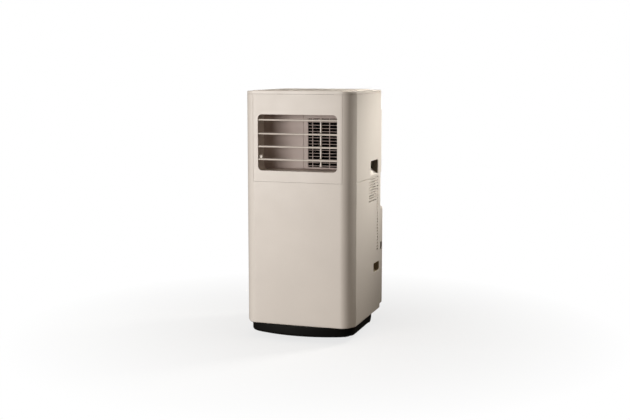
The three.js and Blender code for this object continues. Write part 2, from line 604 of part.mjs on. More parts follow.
// A motor that stands in front of its fan housing, with its shaft running back into the fan's hub.
function fanMotor(radius, length, shaft) {
  return join(
    rodY(radius, 0, length, 0, 0, 20),
    rodY(radius * 0.55, -5, 1, 0, 0, 16),
    rodY(3, length - 1, length + shaft, 0, 0, 12),
  );
}

function buildIndoorBlower(unit) {
  const { x, z, frontY, rearY, radius } = BLOWER;
  const [low, high, right] = [470, 642, 118];
  const scroll = (inset) => {
    const shape = new THREE.Shape();
    shape.moveTo(right - inset, low + inset);
    shape.lineTo(right - inset, high - inset);
    shape.lineTo(x, high - inset);
    shape.absellipse(x, (low + high) / 2, 70 - inset, (high - low) / 2 - inset, 0.5 * Math.PI, 1.5 * Math.PI);
    return shape;
  };
  const foot = TRAY_Z + 2.5 + FIT;
  const feet = [block(-90, -70, 0, 30, foot, 475), block(70, 90, 0, 30, foot, 472)];
  const housing = cut(
    join(prismY(scroll(0), frontY, rearY, 7), ...feet),
    prismY(scroll(SHEET), frontY + SHEET, rearY - SHEET, 7),
    block(THROAT_X, OUTLET_HALF, frontY - 5, frontY + 5, OUTLET_LOW, OUTLET_HIGH),
    rodY(52, rearY - 5, rearY + 5, x, z, 32),
    rodY(6, frontY - 5, frontY + 5, x, z, 16),
  );
  piece(unit, 'blower_housing', housing, FINISH.inner);
  piece(unit, 'blower_wheel', drumFan(radius, 52, 12), FINISH.black, x, frontY + 8, z);
  piece(unit, 'blower_motor', fanMotor(30, 36, 14), FINISH.steel, x, frontY - 36 - FIT, z);
}

function buildExhaustFan(unit) {
  const { z, frontY, rearY, radius, half } = EXHAUST_FAN;
  const top = 339.7;
  const well = (inset, reach) => {
    const shape = new THREE.Shape();
    shape.moveTo(half - inset, reach);
    shape.lineTo(half - inset, z);
    shape.absarc(0, z, half - inset, 0, -Math.PI, true);
    shape.lineTo(inset - half, reach);
    return shape;
  };
  const foot = BASE_FLOOR + FIT;
  const feet = [block(-70, -50, 0, 30, foot, 175), block(50, 70, 0, 30, foot, 175)];
  const housing = cut(
    join(prismY(well(0, top), frontY, rearY, 7), ...feet),
    prismY(well(SHEET, top + 1), frontY + SHEET, rearY - SHEET, 7),
    rodY(66, rearY - 5, rearY + 5, 0, z, 32),
    rodY(6, frontY - 5, frontY + 5, 0, z, 16),
  );
  piece(unit, 'exhaust_fan_housing', housing, FINISH.inner);
  piece(unit, 'exhaust_fan', drumFan(radius, 48, 14), FINISH.black, 0, frontY + 8, z);
  piece(unit, 'exhaust_fan_motor', fanMotor(38, 36, 14), FINISH.steel, 0, frontY - 36 - FIT, z);

  const rear = PORT.innerY - FIT;
  const duct = cut(
    block(-half, half, frontY, rear, top + FIT, EXHAUST_TOP_Z),
    block(
      -half + SHEET, half - SHEET, frontY + SHEET, rear - SHEET, top + SHEET + FIT, EXHAUST_TOP_Z - SHEET),
    block(-half + SHEET, half - SHEET, frontY + SHEET, rearY - SHEET, top - 1, top + 5),
    block(-PORT.half, PORT.half, 100, 130, PORT.low, PORT.high),
  );
  piece(unit, 'exhaust_duct', duct, FINISH.inner);
}

// A small motor in the water tray turns a disc that throws condensate onto the hot coil.
function buildSplash(unit) {
  const [x, z] = [34, 60];
  const motor = join(
    rodY(14, 0, 26, 0, 0, 20),
    rodY(2, 25, 34, 0, 0, 12),
    block(-8, 8, 3, 23, BASE_FLOOR + FIT - z, -8),
  );
  piece(unit, 'splash_motor', motor, FINISH.steel, x, 54, z);
  const paddles = [];
  for (let i = 0; i < 8; i += 1) {
    const geometry = new THREE.BoxGeometry(9, 6, 1.6);
    geometry.translate(25.5, 4, 0).rotateY((2 * Math.PI * i) / 8);
    paddles.push(solid(geometry));
  }
  const disc = cut(
    join(rodY(30, 0, 2, 0, 0, 28), rodY(6, 0, 7, 0, 0, 16), ...paddles),
    rodY(2.3, -1, 8, 0, 0, 12));
  piece(unit, 'splash_wheel', disc, FINISH.inner, x, 82, z);
}

// ---- Inner structure and electrics ----

function buildInside(unit) {
  const tray = cut(
    block(-150, 150, -104, 140, TRAY_Z, 450),
    block(-148, 148, -102, 138, TRAY_Z + 2.5, 451),
    rodZ(8, TRAY_Z - 1, 452, -130, -66, 16),
  );
  const collar = cut(rodZ(10.5, TRAY_Z, 449, -130, -66, 16), rodZ(8, TRAY_Z - 1, 452, -130, -66, 16));
  piece(unit, 'partition_tray', join(tray, collar), FINISH.inner);

  const box = cut(
    block(56, 134, -150, -84, 270, 420),
    block(58, 132, -148, -86, 272, 418),
    rodX(6, 50, 60, -117, 400, 16),
  );
  piece(unit, 'control_box', box, FINISH.inner);
  const can = cut(
    turned([[0, 0], [18, 0], [20, 2], [20, 80], [18, 83], [0, 83]], 20),
    turned([[0, 3], [17, 3], [17, 79], [0, 79]], 16),
    rodZ(2, 70, 90, 8, 0, 8),
  );
  piece(unit, 'run_capacitor', can, FINISH.steel, 104, -117, 186);
}

const airConditioner = new THREE.Group();
airConditioner.name = 'portable_air_conditioner';
airConditioner.position.y = -(LOWER_COVER_Y + BASE_FRONT_Y) / 2;
[buildBase, buildCasters, buildCasing, buildHandles, buildCordInlet, buildTop, buildFascia, buildLouvers,
  buildDuct, buildRear, buildCoolingCircuit, buildIndoorBlower, buildExhaustFan, buildSplash, buildInside,
].forEach((build) => build(airConditioner));

export default airConditioner;
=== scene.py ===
"""The looks of a portable air conditioner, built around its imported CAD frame.

Shapes are written in millimetres: +Z up, the front faces -Y, the floor is Z 0. Y is counted from a line that
lies SET_FORWARD mm in front of the frame's origin, and place() moves each piece into the frame.
"""
import math

import bmesh
import bpy
from mathutils import Matrix, Vector


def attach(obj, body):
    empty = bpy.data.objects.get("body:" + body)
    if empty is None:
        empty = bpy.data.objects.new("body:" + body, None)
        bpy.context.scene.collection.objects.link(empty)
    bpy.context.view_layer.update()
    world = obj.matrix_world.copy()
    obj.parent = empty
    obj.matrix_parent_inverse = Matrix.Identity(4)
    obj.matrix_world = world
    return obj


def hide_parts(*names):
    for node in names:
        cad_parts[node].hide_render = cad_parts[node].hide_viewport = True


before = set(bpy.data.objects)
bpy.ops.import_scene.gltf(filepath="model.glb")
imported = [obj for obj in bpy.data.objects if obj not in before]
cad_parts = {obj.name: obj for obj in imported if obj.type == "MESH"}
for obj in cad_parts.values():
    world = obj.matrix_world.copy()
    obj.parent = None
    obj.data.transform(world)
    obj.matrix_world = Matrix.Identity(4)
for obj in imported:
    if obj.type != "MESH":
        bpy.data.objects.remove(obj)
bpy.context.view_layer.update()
MM = 0.001

# ---- Driving dimensions (mm), the same as the CAD frame's ----
HALF_WIDTH = 160
TOP_Z = 700
FRONT_Y = -158
REAR_Y = 150
UPPER_COVER_Y = 170
LOWER_COVER_Y = 188
SET_FORWARD = 9
BASE_FRONT_Y = -170
CASING_Z = 44
SEAM_Z = 447
LID_Z = 690
SHOULDER_Z = 697.5
CORNER_SEAM_Y = -120
FASCIA_HALF = 129.5
FRONT_RADIUS = 37
REAR_RADIUS = 12
FRONT_BOW = 2
WALL = 2.5
SHEET = 2.2
SEAM = 0.5
OUTLET_HALF = 115
OUTLET_LOW = 478
OUTLET_HIGH = 634
SLEEVE_BACK_Y = -108
DUCT_BACK_Y = -20.4
THROAT_X = -12
THROAT_Y = -66
LOUVER_Y = -141
LOUVER_Z = (618.6, 580.3, 544.7, 509)
LINK_X = 57
CRANK = 17
WHEEL_RADIUS = 18
WHEEL_BAY_Z = 41
TRAIL = 16
CASTERS = ((-108, -88), (108, -88), (-124, 104), (124, 104))
BUTTON_X = (-70, -56, -42, 42, 56, 70)
BUTTON_Y = -84
BUTTON_NAMES = ("power", "mode", "fan", "timer", "up", "down")

# Openings and covers by their edges, and small parts by their places.
HANDLE = {"front": 27, "rear": 110, "low": 453.5, "high": 496, "depth": 137}
CORD_CUP = {"front": 66, "rear": 128, "low": 163, "high": 191, "depth": 142}
VENTS = {"front": 12, "rear": 91, "low": 378, "high": 446, "pitch": 7.75, "height": 3.4}
SMALL_VENTS = {"front": 99, "rear": 113, "low": 226, "high": 446, "pitch": 9, "height": 4}
FINGER_NOTCH = {"front": 162, "rear": 180, "low": 218, "high": 241}
PANEL = {"half": 80, "front": -112, "rear": -56, "ledge": 693, "top": 698.5, "bottom": 680}
PORT = {"half": 84, "low": 365, "high": 431}
UPPER_COVER = {"low": SEAM_Z + 1, "high": 643}
LOWER_COVER = {"low": 48, "high": 349}
HINGE = {"y": 156, "z": 454, "pin": 2, "bore": 2.4, "knuckle": 3.5}
DRAINS = {"lower": (0, 146.3, 30), "upper": (-125, 150.3, 398)}
DRAIN_BORE = 5.4

# The front corners' curve: its direction at the crease (degrees) and the length of its tangents.
CORNER_TURN = 68
CORNER_TANGENT = 19

# The fascia is cut out of the casing back to this Y, and the cups seat just inside the side walls.
FASCIA_CUT_Y = -140
CUP_FACE = HALF_WIDTH - WALL - 0.3
LIP_TOP = 466

SIDES = (("right", 1), ("left", -1))
FAR = 400


# ---- Mesh tools ----

def scratch(bm, name="scratch"):
    """The mesh as an object in the scene, with its faces turned outwards."""
    bmesh.ops.recalc_face_normals(bm, faces=bm.faces)
    mesh = bpy.data.meshes.new(name)
    bm.to_mesh(mesh)
    bm.free()
    obj = bpy.data.objects.new(name, mesh)
    bpy.context.scene.collection.objects.link(obj)
    return obj


def loops_to_mesh(loops, closed=False):
    """A skin over the loops of points: closed joins the last to the first, otherwise both ends are capped."""
    bm = bmesh.new()
    rows = [[bm.verts.new(Vector(p) * MM) for p in loop] for loop in loops]
    count = len(rows[0])
    pairs = list(zip(rows, rows[1:]))
    if closed:
        pairs.append((rows[-1], rows[0]))
    for a, b in pairs:
        for i in range(count):
            j = (i + 1) % count
            bm.faces.new((a[i], a[j], b[j], b[i]))
    if not closed:
        bm.faces.new(rows[0])
        bm.faces.new(rows[-1])
    return scratch(bm)


def on_axis(axis, u, v, w):
    """The point with (u, v) in the outline's plane and w along the axis."""
    return {"x": (w, u, v), "y": (u, w, v), "z": (u, v, w)}[axis]


def prism(axis, outline, low, high):
    """The outline drawn along the axis: (Y, Z) along x, (X, Z) along y or (X, Y) along z."""
    return loops_to_mesh([[on_axis(axis, u, v, w) for u, v in outline] for w in (low, high)])


def block(x0, x1, y0, y1, z0, z1):
    return prism("z", [(x0, y0), (x1, y0), (x1, y1), (x0, y1)], z0, z1)


def slab(outline, profile, closed=False):
    """A solid stack of plan outlines, one for each (inset, height) in the profile. Closed, it is a ring."""
    return loops_to_mesh([[(x, y, z) for x, y in outline(inset)] for inset, z in profile], closed)


def arc(cx, cy, rx, ry, start, end, steps):
    """Points on an ellipse from one angle to the other, in degrees."""
    angles = [math.radians(start + (end - start) * i / steps) for i in range(steps + 1)]
    return [(cx + rx * math.cos(t), cy + ry * math.sin(t)) for t in angles]


def bezier(a, b, c, d, steps):
    """Points on a cubic curve, both ends included."""
    points = []
    for i in range(steps + 1):
        t = i / steps
        s = 1 - t
        weights = (s ** 3, 3 * s * s * t, 3 * s * t * t, t ** 3)
        points.append(tuple(sum(w * p[k] for w, p in zip(weights, (a, b, c, d))) for k in (0, 1)))
    return points


def rounded_rect(u0, u1, v0, v1, radius, steps=8):
    r = radius
    return (arc(u1 - r, v1 - r, r, r, 0, 90, steps) + arc(u0 + r, v1 - r, r, r, 90, 180, steps)
            + arc(u0 + r, v0 + r, r, r, 180, 270, steps) + arc(u1 - r, v0 + r, r, r, 270, 360, steps))


def opening(edges, grow, radius):
    """The outline in (Y, Z) of an opening in the side, grown all round."""
    return rounded_rect(edges["front"] - grow, edges["rear"] + grow,
                        edges["low"] - grow, edges["high"] + grow, radius)


def circle(radius, u=0, v=0, steps=48):
    return arc(u, v, radius, radius, 0, 360 - 360 / steps, steps - 1)


def rod(axis, radius, low, high, u, v, steps=48):
    return prism(axis, circle(radius, u, v, steps), low, high)


def turned(axis, profile, u, v, steps=48, closed=False):
    """A solid of revolution, one circle for each (radius, height) in the profile. Closed, it is a ring."""
    hoops = [[on_axis(axis, a, b, h) for a, b in circle(r, u, v, steps)] for r, h in profile]
    return loops_to_mesh(hoops, closed)


def tube(points, radius, steps=12):
    """A round bar along the points, its section kept square to the path."""
    path = [Vector(p) for p in points]
    loops = []
    side = None
    for i, p in enumerate(path):
        ahead = path[min(i + 1, len(path) - 1)] - path[max(i - 1, 0)]
        ahead.normalize()
        if side is None:
            side = ahead.orthogonal().normalized()
        side = (side - ahead * side.dot(ahead)).normalized()
        across = ahead.cross(side)
        turn = [math.tau * k / steps for k in range(steps)]
        loops.append([p + side * (radius * math.cos(t)) + across * (radius * math.sin(t)) for t in turn])
    return loops_to_mesh(loops)


def bake_modifiers(obj):
    """Turns the object's modifiers into its mesh."""
    depsgraph = bpy.context.evaluated_depsgraph_get()
    mesh = bpy.data.meshes.new_from_object(obj.evaluated_get(depsgraph))
    obj.modifiers.clear()
    old = obj.data
    obj.data = mesh
    bpy.data.meshes.remove(old)
    return obj


def combine(operation, obj, tools):
    """Applies each tool to the object in turn, and uses the tools up."""
    for tool in tools:
        modifier = obj.modifiers.new("combine", "BOOLEAN")
        modifier.operation = operation
        modifier.solver = "MANIFOLD"
        modifier.object = tool
        bake_modifiers(obj)
        bpy.data.objects.remove(tool, do_unlink=True)
    return obj


def cut(obj, *tools):
    return combine("DIFFERENCE", obj, tools)


def join(obj, *tools):
    return combine("UNION", obj, tools)


def common(obj, tool):
    return combine("INTERSECT", obj, [tool])


def together(*parts):
    """Separate solids as one object, with nothing joined or cut."""
    bm = bmesh.new()
    for part in parts:
        bm.from_mesh(part.data)
        bpy.data.objects.remove(part, do_unlink=True)
    return scratch(bm)


def turned_about_x(obj, angle, y, z):
    """Turns the object's mesh by an angle in degrees about a line along X."""
    there = Matrix.Translation(Vector((0, y, z)) * MM)
    spin = Matrix.Rotation(math.radians(angle), 4, "X")
    obj.data.transform(there @ spin @ there.inverted())
    return obj


def soften(obj, width=0.6, segments=2, angle=38):
    """Rounds the sharp edges by a width in mm and shades the rest smoothly, with large faces kept flat."""
    if width:
        modifier = obj.modifiers.new("edges", "BEVEL")
        modifier.width = width * MM
        modifier.segments = segments
        modifier.limit_method = "ANGLE"
        modifier.angle_limit = math.radians(angle)
        modifier.harden_normals = True
        modifier.use_clamp_overlap = True
        bake_modifiers(obj)
    for face in obj.data.polygons:
        face.use_smooth = True
    if not width:
        obj.data.set_sharp_from_angle(angle=math.radians(angle))
    modifier = obj.modifiers.new("normals", "WEIGHTED_NORMAL")
    modifier.keep_sharp = True
    return bake_modifiers(obj)


def place(name, obj, body, slot, *nodes, look=None):
    """Names the piece, paints it like its slot or another look, and puts it on its body for the nodes."""
    obj.name = name
    obj.data.name = name
    obj.data.transform(Matrix.Translation(Vector((0, -SET_FORWARD, 0)) * MM))
    obj.data.materials.clear()
    obj.data.materials.append(MATERIALS[look or slot])
    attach(obj, body)
    if nodes:
        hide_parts(*nodes)


# ---- Materials ----

class Nodes:
    """A material's node tree with short calls for the nodes it is made of."""

    def __init__(self, name):
        self.material = bpy.data.materials.new(name)
        self.material.use_nodes = True
        self.tree = self.material.node_tree
        self.shader = self.tree.nodes["Principled BSDF"]
        self.place = self.new("TexCoord").outputs["Object"]

    def new(self, kind):
        return self.tree.nodes.new("ShaderNode" + kind)

    def link(self, output, target):
        self.tree.links.new(output, target)

    def located(self, kind, scale, place=None):
        """A node with its scale, fed with the object's own coordinates unless another place is given."""
        node = self.new(kind)
        node.inputs["Scale"].default_value = scale
        self.link(place or self.place, node.inputs["Vector"])
        return node

    def noise(self, scale, detail=3, roughness=0.55, stretch=None):
        place = self.located("Mapping", stretch).outputs["Vector"] if stretch else None
        node = self.located("TexNoise", scale, place)
        node.inputs["Detail"].default_value = detail
        node.inputs["Roughness"].default_value = roughness
        return node.outputs["Fac"]

    def spots(self, scale):
        return self.located("TexVoronoi", scale).outputs["Distance"]

    def waves(self, scale, axis):
        node = self.located("TexWave", scale)
        node.bands_direction = axis
        return node.outputs["Fac"]

    def ramp(self, value, low, high, out_low=0, out_high=1):
        """The value from low to high spread over the two outputs."""
        node = self.new("MapRange")
        for key, number in (("From Min", low), ("From Max", high), ("To Min", out_low), ("To Max", out_high)):
            node.inputs[key].default_value = number
        self.link(value, node.inputs["Value"])
        return node.outputs["Result"]

    def math(self, operation, a, b):
        node = self.new("Math")
        node.operation = operation
        for socket, value in zip(node.inputs, (a, b)):
            if isinstance(value, (int, float)):
                socket.default_value = value
            else:
                self.link(value, socket)
        return node.outputs["Value"]

    def mix(self, factor, colour_a, colour_b):
        node = self.new("Mix")
        node.data_type = "RGBA"
        for socket, colour in ((node.inputs["A"], colour_a), (node.inputs["B"], colour_b)):
            if isinstance(colour, tuple):
                socket.default_value = linear(colour)
            else:
                self.link(colour, socket)
        self.link(factor, node.inputs["Factor"])
        return node.outputs["Result"]

    def bump(self, *layers):
        """Stacks bump layers, each a (height, strength, distance in mm)."""
        normal = None
        for height, strength, distance in layers:
            node = self.new("Bump")
            node.inputs["Strength"].default_value = strength
            node.inputs["Distance"].default_value = distance * MM
            self.link(height, node.inputs["Height"])
            if normal:
                self.link(normal, node.inputs["Normal"])
            normal = node.outputs["Normal"]
        self.link(normal, self.shader.inputs["Normal"])

    def set(self, **values):
        """Sets the shader's sockets to numbers and colours, or links them."""
        for key, value in values.items():
            socket = self.shader.inputs[key.replace("_", " ")]
            if isinstance(value, (int, float, tuple)):
                socket.default_value = linear(value) if isinstance(value, tuple) else value
            else:
                self.link(value, socket)


def linear(colour):
    """An sRGB colour of 0 to 255 as linear light, with full alpha."""
    def channel(value):
        s = value / 255
        return s / 12.92 if s <= 0.04045 else ((s + 0.055) / 1.055) ** 2.4
    return (*[channel(c) for c in colour], 1)


def shade(colour, factor):
    """The colour made lighter or darker."""
    return tuple(min(255, c * factor) for c in colour)


def moulded_plastic(name, colour, roughness, grain, coat=0.0, mottle=0.03, specular=0.5):
    """Moulded plastic: a fine spark-eroded grain, faint flow mottling, and gloss that varies a little."""
    n = Nodes(name)
    cloud = n.noise(7, 4)
    fine = n.noise(900, 2)
    smudge = n.noise(26, 5, 0.7)
    tone = n.ramp(cloud, 0.3, 0.7)
    speck = n.ramp(fine, 0.35, 0.65)
    broad = n.mix(tone, shade(colour, 1 - mottle), shade(colour, 1 + mottle))
    n.set(Base_Color=n.mix(n.math("MULTIPLY", speck, 0.35), broad, shade(colour, 0.965)))
    n.set(Roughness=n.math("ADD", n.ramp(smudge, 0.3, 0.75, roughness - 0.05, roughness + 0.07),
                           n.ramp(fine, 0.3, 0.7, -0.02, 0.02)))
    n.bump((n.spots(620), grain, 0.03), (n.noise(9, 2), 0.12, 0.5))
    n.set(Coat_Weight=coat, Coat_Roughness=0.12, IOR=1.49, Specular_IOR_Level=specular)
    return n.material


def metal(name, colour, roughness, stretch=(1, 1, 1), brushed=0.2, metallic=1.0):
    """Metal with fine lines along its unstretched direction and slight tarnish."""
    n = Nodes(name)
    lines = n.noise(420, 3, 0.6, stretch)
    tarnish = n.noise(18, 5, 0.65)
    n.set(Base_Color=n.mix(n.ramp(tarnish, 0.35, 0.7), shade(colour, 1.04), shade(colour, 0.82)))
    n.set(Roughness=n.math("ADD", n.ramp(lines, 0.3, 0.7, roughness - 0.06, roughness + 0.08),
                           n.ramp(tarnish, 0.4, 0.8, 0, 0.12)))
    n.bump((lines, brushed, 0.02), (n.noise(60, 3), 0.15, 0.1))
    n.set(Metallic=metallic)
    return n.material


def rubber(name, colour):
    """Matte rubber with a dusty bloom and a slightly pitted skin."""
    n = Nodes(name)
    dust = n.noise(55, 5, 0.7)
    n.set(Base_Color=n.mix(n.ramp(dust, 0.45, 0.75), colour, shade(colour, 1.7)))
    n.set(Roughness=n.ramp(dust, 0.3, 0.7, 0.66, 0.88))
    n.bump((n.spots(480), 0.3, 0.05), (n.noise(120, 3), 0.2, 0.06))
    return n.material


def smoked_window(name, colour):
    """A polished dark window with faint dust and wipe marks."""
    n = Nodes(name)
    wipes = n.noise(30, 6, 0.7, (1, 3, 1))
    dust = n.spots(260)
    n.set(Base_Color=n.mix(n.ramp(dust, 0.0, 0.06, 0.25, 0), colour, (96, 96, 92)))
    n.set(Roughness=n.ramp(wipes, 0.35, 0.7, 0.05, 0.16))
    n.bump((n.noise(14, 2), 0.05, 0.2))
    n.set(IOR=1.5, Coat_Weight=0.4, Coat_Roughness=0.05)
    return n.material


def mesh_cloth(name, colour):
    """Woven nylon filter mesh: fine crossed threads with a dusty tone."""
    n = Nodes(name)
    along = n.waves(260, "X")
    up = n.waves(260, "Z")
    weave = n.math("MAXIMUM", along, up)
    dust = n.noise(24, 5, 0.7)
    threads = n.mix(n.ramp(weave, 0.55, 0.95), shade(colour, 0.3), shade(colour, 1.25))
    n.set(Base_Color=n.mix(n.ramp(dust, 0.5, 0.8, 0, 0.35), threads, (132, 126, 116)))
    n.set(Roughness=n.ramp(weave, 0, 1, 0.9, 0.62))
    n.bump((weave, 0.6, 0.3))
    return n.material


WHITE = (224, 216, 207)
BLACK = (13, 12, 10)
MATERIALS = {
    "casing": moulded_plastic("warm_white_casing", WHITE, 0.45, grain=0.22, coat=0.05, mottle=0.012),
    # painted light: the lid's white is a shade lighter than the casing's, standing in for the light that
    # falls on its top
    "lid": moulded_plastic("warm_white_lid_painted_light", shade(WHITE, 1.01), 0.4, grain=0.25, mottle=0.012),
    "louver": moulded_plastic("louver_plastic", (214, 205, 195), 0.36, grain=0.15, mottle=0.015),
    # painted shade: the duct plastic is darker and browner than the white casing, standing in for the shade
    # inside the outlet
    "duct": moulded_plastic("duct_plastic_painted_shade", (188, 173, 166), 0.5, grain=0.35),
    # painted shade: the dark recess colour stands in for the shadow inside the grips' pockets and behind the
    # lower cover's finger notches
    "recess": moulded_plastic("recess_painted_shade", (108, 99, 84), 0.55, grain=0.35, mottle=0.05),
    # painted shade: the cord cup's brown is the casing's white as it looks in shadow
    "cord_cup_painted_shade": moulded_plastic("recess_painted_shade_brown", (172, 157, 130), 0.55, grain=0.35, mottle=0.05),
    "black_plastic": moulded_plastic("black_plastic", BLACK, 0.6, grain=0.4, mottle=0.08, specular=0.12),
    "panel": moulded_plastic("panel_plastic", (22, 21, 20), 0.22, grain=0.1, coat=0.5, mottle=0.05),
    "button": moulded_plastic("key_plastic", (206, 200, 191), 0.5, grain=0.35, mottle=0.02),
    "inner_plastic": moulded_plastic("inner_plastic", (186, 187, 185), 0.58, grain=0.35),
    "rubber": rubber("black_rubber", (30, 29, 27)),
    "caster_tread": rubber("caster_nylon", (34, 34, 33)),
    "display": smoked_window("display_window_smoked", (9, 10, 12)),
    "filter": mesh_cloth("filter_mesh", (66, 72, 78)),
    "motor_steel": metal("plated_steel", (158, 160, 162), 0.34, (1, 12, 1)),
    "painted_steel": metal("black_enamel", (26, 27, 29), 0.32, brushed=0.08, metallic=0.0),
    "copper": metal("copper_tube", (190, 112, 72), 0.28, (6, 6, 1), brushed=0.12),
    "coil_fins": metal("fin_aluminium", (196, 199, 202), 0.38, (1, 1, 8), brushed=0.25),
}


# ---- Plan outlines ----

def casing_outline(inset):
    """The casing in plan: wide front corners that end at a crease, and small rear corners."""
    x = HALF_WIDTH - inset
    rear = REAR_Y - inset
    front = FRONT_Y + FRONT_BOW + inset
    small = max(REAR_RADIUS - inset, 1)
    end = math.radians(CORNER_TURN)
    start = HALF_WIDTH - FRONT_RADIUS
    tip = (x - CORNER_TANGENT * math.cos(end), CORNER_SEAM_Y - CORNER_TANGENT * math.sin(end))
    right = bezier((start, front), (start + CORNER_TANGENT, front), tip, (x, CORNER_SEAM_Y), 16)
    left = [(-u, v) for u, v in reversed(right)]
    peak = front - FRONT_BOW * 1.35
    bow = bezier((-start, front), (-start / 3, peak), (start / 3, peak), (start, front), 16)[1:-1]
    return (arc(x - small, rear - small, small, small, 0, 90, 8)
            + arc(small - x, rear - small, small, small, 90, 180, 8) + left + bow + right)


def skirt_outline(inset):
    """The base skirt in plan: a broad arc in front of the casing, cut back at its corners."""
    side, rear, radius = 152, 146, 12
    corner_x, corner_y = 116, -148
    peak = (corner_y + 2 * (2 * BASE_FRONT_Y - corner_y)) / 3
    corner = (corner_x, corner_y)
    front = bezier((-corner_x, corner_y), (-corner_x / 3, peak), (corner_x / 3, peak), corner, 32)
    right = bezier(corner, (140, -138.7), (side, -121.3), (side, -96), 12)[1:]
    left = [(-u, v) for u, v in reversed(right)]
    points = (arc(side - radius, rear - radius, radius, radius, 0, 90, 6)
              + arc(radius - side, rear - radius, radius, radius, 90, 180, 6) + left + front + right)
    share = 1 - inset / side
    return [(u * share, v * share) for u, v in points]


# ---- Casing ----

def wall_ring(low, high, foot=0.0):
    """The casing wall between two heights, with its lowest edge turned in by foot."""
    outer = [(0, low)]
    if foot:
        outer = [(foot, low), (foot * 0.4, low + foot * 0.25), (foot * 0.1, low + foot), (0, low + 2 * foot)]
    return slab(casing_outline, [*outer, (0, high), (WALL, high), (WALL, low)], True)


def ahead_of_seam():
    """A cutter for all that lies in front of the side panels."""
    return block(-FAR, FAR, -FAR, CORNER_SEAM_Y, 0, TOP_Z)


def through_rear(outline):
    """A cutter for an (X, Z) outline in the rear wall."""
    return prism("y", outline, REAR_Y - 10, REAR_Y + 10)


def side_slots(vents):
    """Cutters for rows of round-ended vent slots through both side walls."""
    height = vents["height"]
    cutters = []
    z = vents["low"]
    while z + height <= vents["high"]:
        slot = rounded_rect(vents["front"], vents["rear"], z, z + height, height / 2 - 0.01, 5)
        cutters.append(prism("x", slot, -FAR, FAR))
        z += vents["pitch"]
    return cutters


def build_vent_baffles():
    """A plate a little way behind each side's vent slots keeps fingers and drips out."""
    near, thick, top = 152, 1.4, 446.2
    wide = rounded_rect(VENTS["front"] - 3, VENTS["rear"] + 3, VENTS["low"] - 3, top, 3)
    tall = rounded_rect(VENTS["rear"] - 1, SMALL_VENTS["rear"] + 4, SMALL_VENTS["low"] - 4, top, 3)
    for name, side in SIDES:
        low, high = sorted((side * near, side * (near + thick)))
        plate = join(prism("x", wide, low, high), prism("x", tall, low, high))
        place(f"vent_baffle_{name}", soften(plate, 0.3), "unit", "casing")


def build_front_casing():
    """The front and both wide corners, open where the fascia sits, with a shelf behind the fascia's foot."""
    shell = cut(
        wall_ring(CASING_Z, LID_Z - SEAM, 2),
        block(-FAR, FAR, CORNER_SEAM_Y - SEAM, FAR, 0, TOP_Z),
        block(-FASCIA_HALF, FASCIA_HALF, -FAR, FASCIA_CUT_Y, SEAM_Z, TOP_Z),
    )
    reach = FASCIA_HALF - 3
    shelf = block(-reach, reach, FRONT_Y + 4, FRONT_Y + 12, SEAM_Z - 10, SEAM_Z - 3)
    place("front_casing_shell", soften(join(shell, shelf), 0.9, 3), "unit", "casing", "front_casing")


def build_rear_upper():
    """The upper side and rear shell, with the grips' mouths, the upper air intake and two hinge knuckles."""
    upper = cut(
        wall_ring(SEAM_Z + SEAM, LID_Z - SEAM), ahead_of_seam(),
        prism("x", opening(HANDLE, 0, 7), -FAR, FAR),
        through_rear(rounded_rect(-142, 142, 462, 628, 6)),
    )
    knuckles = []
    for low, high in ((138, 144), (-144, -138)):
        knuckles.append(rod("x", HINGE["knuckle"], low, high, HINGE["y"], HINGE["z"], 40))
        knuckles.append(block(low, high, REAR_Y - 2, HINGE["y"], HINGE["z"] - 0.4, HINGE["z"] + 3.4))
    bore = rod("x", HINGE["bore"], -150, 150, HINGE["y"], HINGE["z"], 32)
    shell = cut(join(upper, *knuckles, grip_frame(1), grip_frame(-1)), bore)
    place("rear_casing_upper_shell", soften(shell, 0.6), "unit", "casing", "rear_casing_upper")


def build_rear_lower():
    """The lower side and rear shell, open for the vents, cord cup, port, intake and upper drain."""
    gap = 2.3
    low, high, half = PORT["low"] - gap, PORT["high"] + gap, PORT["half"] + gap
    drain_x, _, drain_z = DRAINS["upper"]
    lower = cut(
        wall_ring(CASING_Z, SEAM_Z - SEAM, 2), ahead_of_seam(),
        prism("x", opening(CORD_CUP, 0, 5), 100, 200),
        block(-half, half, REAR_Y - 10, REAR_Y + 10, low, high),
        through_rear(rounded_rect(-144, 144, 62, 336, 6)),
        through_rear(circle(DRAIN_BORE, drain_x, drain_z)),
        *side_slots(VENTS),
        *side_slots(SMALL_VENTS),
    )
    place("rear_casing_lower_shell", soften(lower, 0.5), "unit", "casing", "rear_casing_lower")


def grip_frame(side):
    """The slim raised bead round a hand grip's mouth."""
    past = 1.2
    low, high = sorted((side * (HALF_WIDTH - WALL), side * (HALF_WIDTH - 0.05)))
    return cut(prism("x", opening(HANDLE, 3, 9), low, high),
               prism("x", opening(HANDLE, 0, 7), low - past, high + past))


def paint_low_faces(obj, look, top):
    """Gives the faces whose middle is below top a second material."""
    obj.data.materials.append(MATERIALS[look])
    for face in obj.data.polygons:
        face.material_index = int(face.center.z < top * MM)


